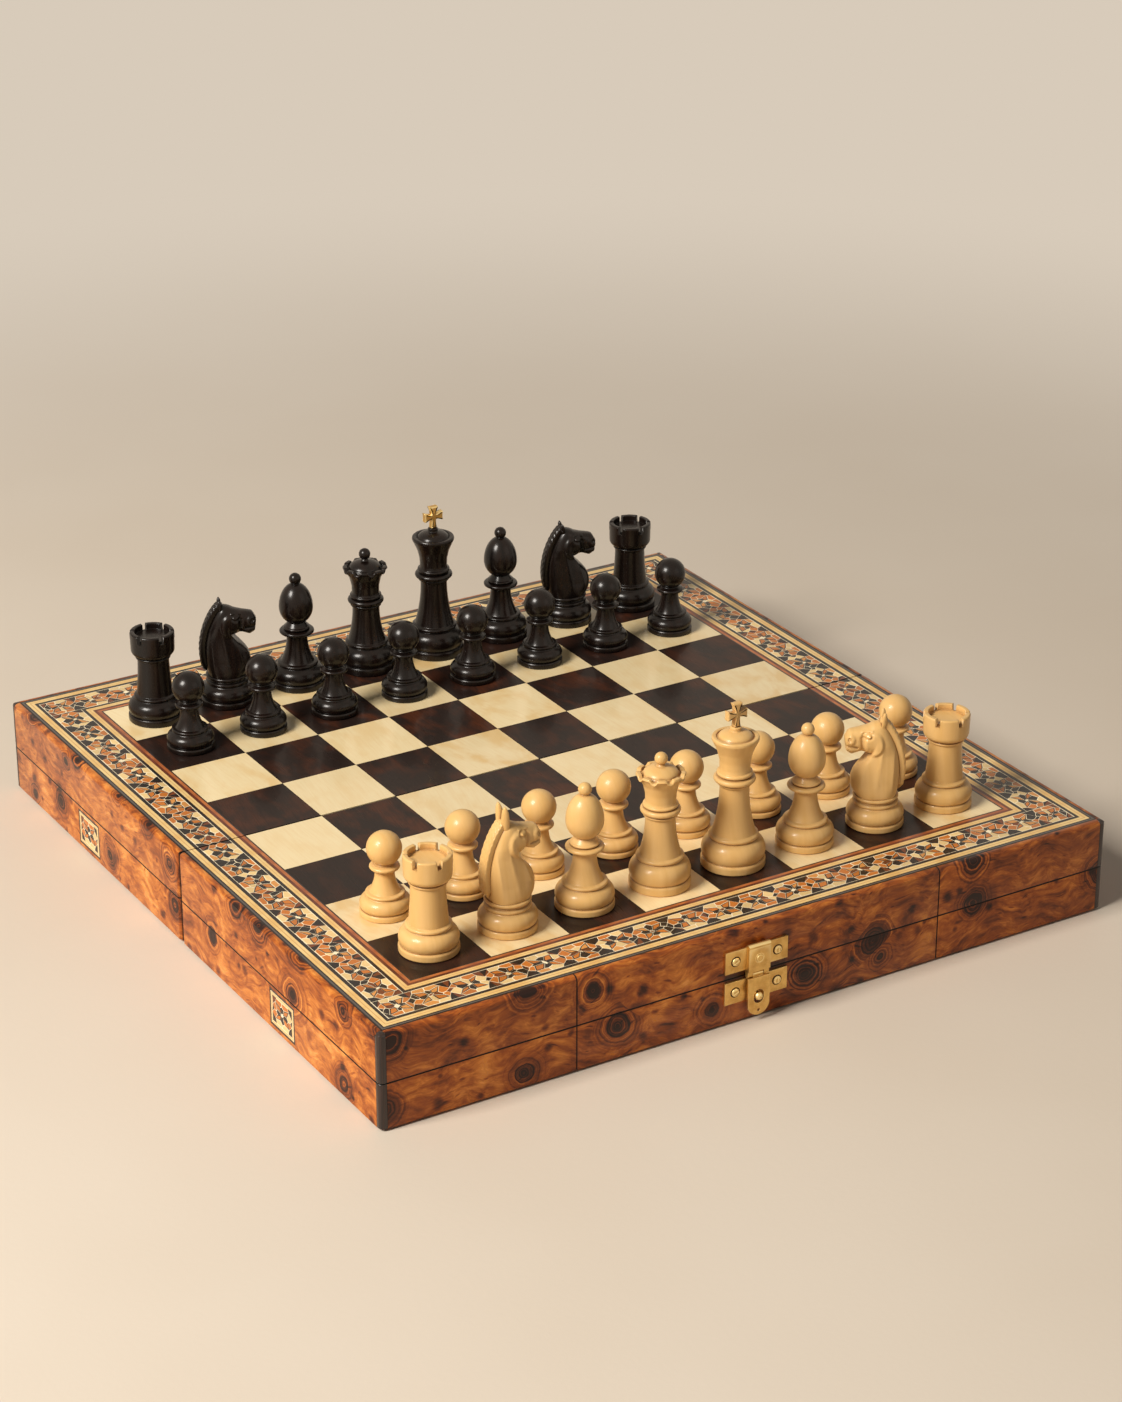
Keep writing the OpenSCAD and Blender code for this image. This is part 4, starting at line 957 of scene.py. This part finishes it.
def man_finish(name, pale, deep, line, groove_shade, rough, coat):
    """Turned wood: upright fibre of the board that a man was cut from, its rings, and painted shade in its
    grooves and corners.
    """
    f = Finish(name)
    grain = f.node("ShaderNodeAttribute", output="Vector", attribute_name="grain")
    bent = f.warp(grain, 40, 6.0)
    bx, by, bz = f.split(bent)
    rings = f.noise(f.join(bx, by * 0.25, bz * 0.02), 2.4, 2)
    fibre = f.noise(f.stretch(bent, (1, 1, 0.04)), 0.55, 3, 0.6)
    colour = f.mix(rings.step(0.3, 0.75) * 0.8, pale, deep)
    colour = f.mix(f.noise(grain, 14, 2).step(0.35, 0.75) * 0.5, colour, line)
    colour = f.mix(fibre.step(0.5, 0.8) * 0.3, colour, deep)
    # Painted shade: darker where the piece's own shape hides a point.
    colour = f.mix(f.groove(2.4).step(0.1, 0.6) * 0.85, colour, groove_shade)
    return f.surface(colour, rough + 0.12 * fibre, f.bump(fibre), Coat_Weight=coat, Coat_Roughness=0.14,
                     Specular_IOR_Level=0.26)


def cloth_finish(name, colour, shade, thread):
    """Woven nap: crossed threads under a fuzz of fine noise."""
    f = Finish(name)
    whole, x, y, _ = f.place()
    turns = 6.283 / thread
    weave = (x * turns).math("SINE") * (y * turns).math("SINE")
    fuzz = f.noise(whole, 0.5, 3, 0.7)
    mixed = f.mix(fuzz.step(0.3, 0.7), colour, shade)
    mixed = f.mix(f.noise(whole, 30, 2).step(0.3, 0.7) * 0.4, mixed, shade)
    return f.surface(mixed, 0.95, f.bump(weave * 0.3 + fuzz, 0.0002, 0.6),
                     Sheen_Weight=0.12, Sheen_Roughness=0.5)


def veneer_tone(name, description, *levels):
    return FloatVectorProperty(name=name, description=description, default=linear(*levels),
                               subtype="COLOR", size=3, min=0, max=1)


def lamp_power(name, description, watts):
    return FloatProperty(name=name, description=description, default=watts, min=0.0, max=400.0, unit="POWER")


class Look(bpy.types.PropertyGroup):
    """Sizes and colours of the finish."""

    eye_pitch: FloatProperty(name="Eye pitch", description="Mean distance between two large eyes of the burr",
                             default=0.034, min=0.01, max=0.1, unit="LENGTH")
    burr_light: veneer_tone("Burr, light", "Lightest wood between the eyes of the burr", 202, 120, 48)
    burr_mid: veneer_tone("Burr, middle", "Middle tone of the burr", 160, 82, 30)
    burr_dark: veneer_tone("Burr, dark", "Dark wood of the burr's rings", 110, 52, 22)
    key_power: lamp_power("Key light", "Power of the large soft light on the left", 82.0)
    fill_power: lamp_power("Fill light", "Power of the weak soft light on the right", 2.6)


class Step(bpy.types.Operator):
    """One group of pieces."""

    bl_options = {"REGISTER", "UNDO"}

    def execute(self, context):
        self.build(context.scene.chess_box)
        return {"FINISHED"}


class CHESSBOX_OT_case(Step):
    """Veneers the tray and the lid, and finishes the corner strips, panels and feet"""

    bl_idname = "chessbox.case"
    bl_label = "Case"

    def build(self, look):
        burr, strip = burr_finish(look), strip_finish()
        for body in ("tray", "lid"):
            for half in ("front", "rear"):
                eased(f"{body}_frame_{half}", body, burr)
            eased(body + "_corner_posts", body, strip, 0.3)
        put_on(panel_finish(), "tray_floor", "lid_board")
        baize = cloth_finish("baize", linear(104, 22, 30), linear(74, 14, 22), 0.7)
        wide, deep = 369.4, 178.4
        for body, up, rests in (("tray", 1, "tray_floor"), ("lid", -1, "lid_board")):
            for half, side in (("front", -1), ("rear", 1)):
                shape = pad(wide, deep, 1.0, 0.06)
                shape = Shape(shape.points * (1, up, up), shape.faces)
                spot = np.array([0, side * (HALF_D - WALL - BAY_DEPTH / 2), LEVELS[body][0]])
                made = piece(f"baize.{body}_{half}", shape.moved(spot), body, baize,
                             [body + "_linings"])
        felt = cloth_finish("felt", linear(28, 26, 25), linear(46, 42, 40), 0.8)
        foot_shape = turned([[0, 0], [7.7, 0], [8, 0.3], [7.95, 0.75], [7.75, 1], [0, 1]], 64, blur=0.08)
        spots = [np.array([x * (HALF_W - FOOT_INSET), y * (HALF_D - FOOT_INSET), 0])
                 for x in (-1, 1) for y in (-1, 1)]
        feet = together([foot_shape.moved(spot) for spot in spots])
        made = piece("felt_feet", feet, "tray", felt, ["feet"])


class CHESSBOX_OT_board(Step):
    """Finishes the squares and the lines round them"""

    bl_idname = "chessbox.board"
    bl_label = "Board"

    def build(self, look):
        maple = square_finish("maple", linear(248, 226, 178), linear(234, 196, 130), linear(236, 202, 144),
                              0.8, 0.30, Coat_Weight=0.5, Coat_Roughness=0.1)
        ebonised = square_finish("ebonised_square", linear(40, 29, 25), linear(86, 46, 28), linear(26, 18, 16),
                                 0.75, 0.24, Coat_Weight=0.1, Coat_Roughness=0.07, Specular_IOR_Level=0.12)
        put_on(maple, "light_squares")
        put_on(ebonised, "dark_squares")
        put_on(line_finish("maple_line", pale_line), "light_stringing")
        put_on(line_finish("ebony_line", black_line), "dark_stringing")
        put_on(line_finish("red_line", red_line), "red_stringing")


class CHESSBOX_OT_mosaic(Step):
    """Lays the mosaic band round the board and the four medallions"""

    bl_idname = "chessbox.mosaic"
    bl_label = "Mosaic"

    def build(self, look):
        finish = mosaic_finish()

        def lay(name, shape, marks, body="lid", node="mosaic_bands"):
            piece(name, shape, body, finish, [node], smooth=False, faces=marks)

        def repeats(half, count):
            """Middles and stretches of the repeats that fill a run of twice half."""
            wide = half / (count * HALF_UNIT)
            return (np.arange(count) * 2 + 1 - count) * HALF_UNIT * wide, np.full(count, wide)

        middle, depth, restless = (MOSAIC_OUT + MOSAIC_IN) / 2, TOP_Z - BED_Z, 0.7
        run = HALF_W - MOSAIC_IN + END_W
        count = round(run / HALF_UNIT)
        centres, widths = repeats(run, count)
        corner, end = run + HALF_BAND, HALF_BAND / HALF_UNIT
        centres = np.concatenate([[-corner], centres, [corner]])
        widths = np.concatenate([[end], widths, [end]])
        ends = (END_LINE, centres[[0, -1]], widths[[0, -1]] * (-1, 1))
        shape, marks = marquetry([(TILES + HAIRLINES, centres, widths), ends], depth, restless)
        for name, side in (("front", -1), ("rear", 1)):
            spot = np.array([0, side * (HALF_D - middle), TOP_Z])
            lay("mosaic." + name, shape.moved(spot, 0 if side < 0 else math.pi), marks)
        reach = HALF_D - MOSAIC_IN - MID_GAP / 2
        shape, marks = marquetry([(TILES + HAIRLINES, *repeats(reach / 2, count // 2))], depth, restless)
        for hand, sx in (("left", -1), ("right", 1)):
            for half, sy in (("front", -1), ("rear", 1)):
                spot = np.array([sx * (HALF_W - middle), sy * (MID_GAP / 2 + reach / 2), TOP_Z])
                lay(f"mosaic.{hand}_{half}", shape.moved(spot, sx * math.pi / 2), marks)
        shape, marks = marquetry([(TILES + BORDER, np.zeros(1), np.ones(1))], depth, 0.3)
        s, t, n = shape.points.T
        t = t * MEDALLION_HALF / t.max() + MEDALLION_Z
        medallions = [Shape(np.stack([sx * (HALF_W + n), sx * s + sy * MEDALLION_Y, t], -1), shape.faces)
                      for sx in (-1, 1) for sy in (-1, 1)]
        marks = {name: np.tile(values, 4) for name, values in marks.items()}
        lay("medallions", together(medallions), marks, "tray", "side_medallions")


class CHESSBOX_OT_brassware(Step):
    """Finishes the hinges, the screws and the clasp"""

    bl_idname = "chessbox.brassware"
    bl_label = "Brassware"

    def build(self, look):
        brass, screw_shade = brass_finish(), screw_shade_finish()
        spot = np.array([0.5 * SQUARE, 3.5 * SQUARE + MID_GAP / 2, SEAT])
        piece("brass_cross", cross().moved(spot), "man_black_king", brass, ["black_king_cross"])
        for node, body in (("catch_plate", "tray"), ("clasp_plate", "lid"), ("hasp", "hasp"),
                           ("tray_hinge_leaves", "tray"), ("lid_hinge_leaves", "lid")):
            eased(node, body, brass, 0.22)
        put_on(brass, "hinge_pins", "hasp_pin")
        for body, (_, plate_z, leaf_z) in LEVELS.items():
            spots = [(1.0 + 0.6 * side, CLASP_X + side * PLATE_SCREWS, PLATE_T, plate_z, False)
                     for side in (-1, 1)]
            spots += [(1.1 * i + side, side * HINGE_X + i * LEAF_SCREWS, LEAF_T, leaf_z, True)
                      for side in (-1, 1) for i in (-1, 0, 1)]
            screws = [on_wall(screw().moved(0, spin), *spot) for spin, *spot in spots]
            piece(body + "_screw_set", together(screws), body, brass, [body + "_screws"])
            # Dark discs under the screw heads are painted shade of the countersinks.
            shade_discs = [on_wall(screw_shade_disc(), *spot) for spin, *spot in spots]
            piece(body + "_screw_shades", together(shade_discs), body, screw_shade)
        piece("clasp_rivet", on_wall(rivet(), CLASP_X, STRAP_OUT, LEVELS["lid"][1]), "lid", brass)


class CHESSBOX_OT_men(Step):
    """Turns and carves the thirty-two men on their squares"""

    bl_idname = "chessbox.men"
    bl_label = "Men"

    def build(self, look):
        shapes = {"pawn": pawn(), "rook": rook(), "bishop": bishop(), "queen": queen(), "king": king()}
        woods = {
            # The last colour of each wood is the painted shade in the grooves.
            "white": man_finish("boxwood", linear(230, 187, 122), linear(222, 176, 106),
                                linear(228, 182, 112), linear(124, 72, 34), 0.34, 0.22),
            "black": man_finish("ebony_men", linear(15, 10, 8), linear(30, 17, 12),
                                linear(12, 8, 7), linear(6, 4, 3), 0.22, 0.14),
        }
        # Height and breadth of each knight's ears, and the turn of its head in degrees
        knights = {"white_knight_b": (61.0, 2.7, 0), "white_knight_g": (57.5, 2.3, 152),
                   "black_knight_b": (55.5, 2.1, -22), "black_knight_g": (55.5, 2.1, -16)}
        for side, home, pawns in (("white", 0, 1), ("black", 7, 6)):
            for file, name in [*enumerate(ORDER), *enumerate("pawn_" + c for c in FILES)]:
                node, kind = f"{side}_{name}", name.split("_")[0]
                rank = pawns if kind == "pawn" else home
                tall, broad, turn = knights.get(node, (0, 0, 0))
                shape = knight(tall, broad) if kind == "knight" else shapes[kind]
                if node == "white_king":
                    shape = shape + cross()
                off = MID_GAP / 2 if rank > 3 else -MID_GAP / 2
                spot = np.array([(file - 3.5) * SQUARE, (rank - 3.5) * SQUARE + off, SEAT])
                grain = shape.points + np.array([file * 37.0, rank * 53.0, 11.0 * file])
                shape = shape.moved(spot, math.radians(turn))
                piece("man." + node, shape, "man_" + node, woods[side], [node], own=grain)


class CHESSBOX_OT_stage(Step):
    """Sets the floor, the lights and the camera"""

    bl_idname = "chessbox.stage"
    bl_label = "Stage"

    def build(self, look):
        scene = bpy.context.scene
        scene.view_settings.view_transform = "Standard"
        world = Finish("Studio", bpy.data.worlds)
        soft = world.node("ShaderNodeBackground", [(1.0, 0.97, 0.93), 0.11])
        shown = world.node("ShaderNodeBackground", [linear(*BACKDROP), 1.0])
        world.node("ShaderNodeOutputWorld", [world.node("ShaderNodeMixShader", [world.seen(), soft, shown])])
        scene.world = world.material

        a, far = np.meshgrid(circle(96), np.geomspace(0.02, 60, 40))
        rows, cols = a.shape
        points = np.stack([far * np.cos(a), far * np.sin(a), 0 * a - 0.0002], -1).reshape(-1, 3)
        i, j = np.meshgrid(np.arange(rows - 1), np.arange(cols), indexing="ij")
        low, after = (i * cols + j).ravel(), (i * cols + (j + 1) % cols).ravel()
        faces = np.stack([low, low + cols, after + cols, after], -1).tolist() + [list(range(cols))]
        mesh = bpy.data.meshes.new("floor")
        mesh.from_pydata(points.tolist(), [], faces)
        f = Finish("plain_floor")
        whole, x, y, _ = f.place()
        colour = f.mix(f.noise(whole, 260, 3).step(0.3, 0.7), linear(224, 211, 194), linear(220, 206, 188))
        away = (x * x + y * y).math("SQRT").step(400, 1150) * f.seen()
        mesh.materials.append(f.surface(colour, 0.6, f.bump(f.noise(whole, 3, 3), 0.0002, 0.25),
                                        glow=(away, linear(*BACKDROP))))
        floor = bpy.data.objects.new("floor", mesh)
        scene.collection.objects.link(floor)

        for name, power, size, place in (("key", look.key_power, 0.9, (-1.9, -0.25, 1.7)),
                                         ("fill", look.fill_power, 1.6, (1.2, -2.2, 1.3))):
            lamp = bpy.data.lights.new(name, "AREA")
            lamp.energy, lamp.size, lamp.color = power, size, (1.0, 0.95, 0.88)
            made = bpy.data.objects.new(name, lamp)
            made.location = place
            made.rotation_euler = (Vector((0, 0, 0.03)) - Vector(place)).to_track_quat("-Z", "Y").to_euler()
            scene.collection.objects.link(made)

        azimuth, elevation, distance = math.radians(-31.105), math.radians(24.768), 1.8811
        level = math.cos(elevation)
        back_way = Vector((math.sin(azimuth) * level, -math.cos(azimuth) * level, math.sin(elevation)))
        target = Vector((0.09702, 0.14038, 0.0))
        camera = bpy.data.cameras.new("camera")
        camera.sensor_fit, camera.sensor_height, camera.lens = "VERTICAL", 36.0, 89.59
        made = bpy.data.objects.new("camera", camera)
        made.location = target + back_way * distance
        made.rotation_euler = (-back_way).to_track_quat("-Z", "Y").to_euler()
        scene.collection.objects.link(made)
        scene.camera = made


STEPS = [CHESSBOX_OT_case, CHESSBOX_OT_board, CHESSBOX_OT_mosaic, CHESSBOX_OT_brassware, CHESSBOX_OT_men,
         CHESSBOX_OT_stage]


class CHESSBOX_PT_panel(bpy.types.Panel):
    """Lists the steps in the order in which they run"""

    bl_idname = "CHESSBOX_PT_panel"
    bl_label = "Chess box"
    bl_space_type = "VIEW_3D"
    bl_region_type = "UI"
    bl_category = "Chess box"

    def draw(self, context):
        look = context.scene.chess_box
        for name in look.bl_rna.properties.keys():
            if name not in {"rna_type", "name"}:
                self.layout.prop(look, name)
        for step in STEPS:
            self.layout.operator(step.bl_idname)


CLASSES = [Look, *STEPS, CHESSBOX_PT_panel]


def register():
    for item in CLASSES:
        bpy.utils.register_class(item)
    bpy.types.Scene.chess_box = PointerProperty(type=Look)


def unregister():
    del bpy.types.Scene.chess_box
    for item in reversed(CLASSES):
        bpy.utils.unregister_class(item)


def main():
    """Runs the steps in order."""
    register()
    for step in STEPS:
        group, name = step.bl_idname.split(".")
        getattr(getattr(bpy.ops, group), name)()


if __name__ == "__main__":
    main()
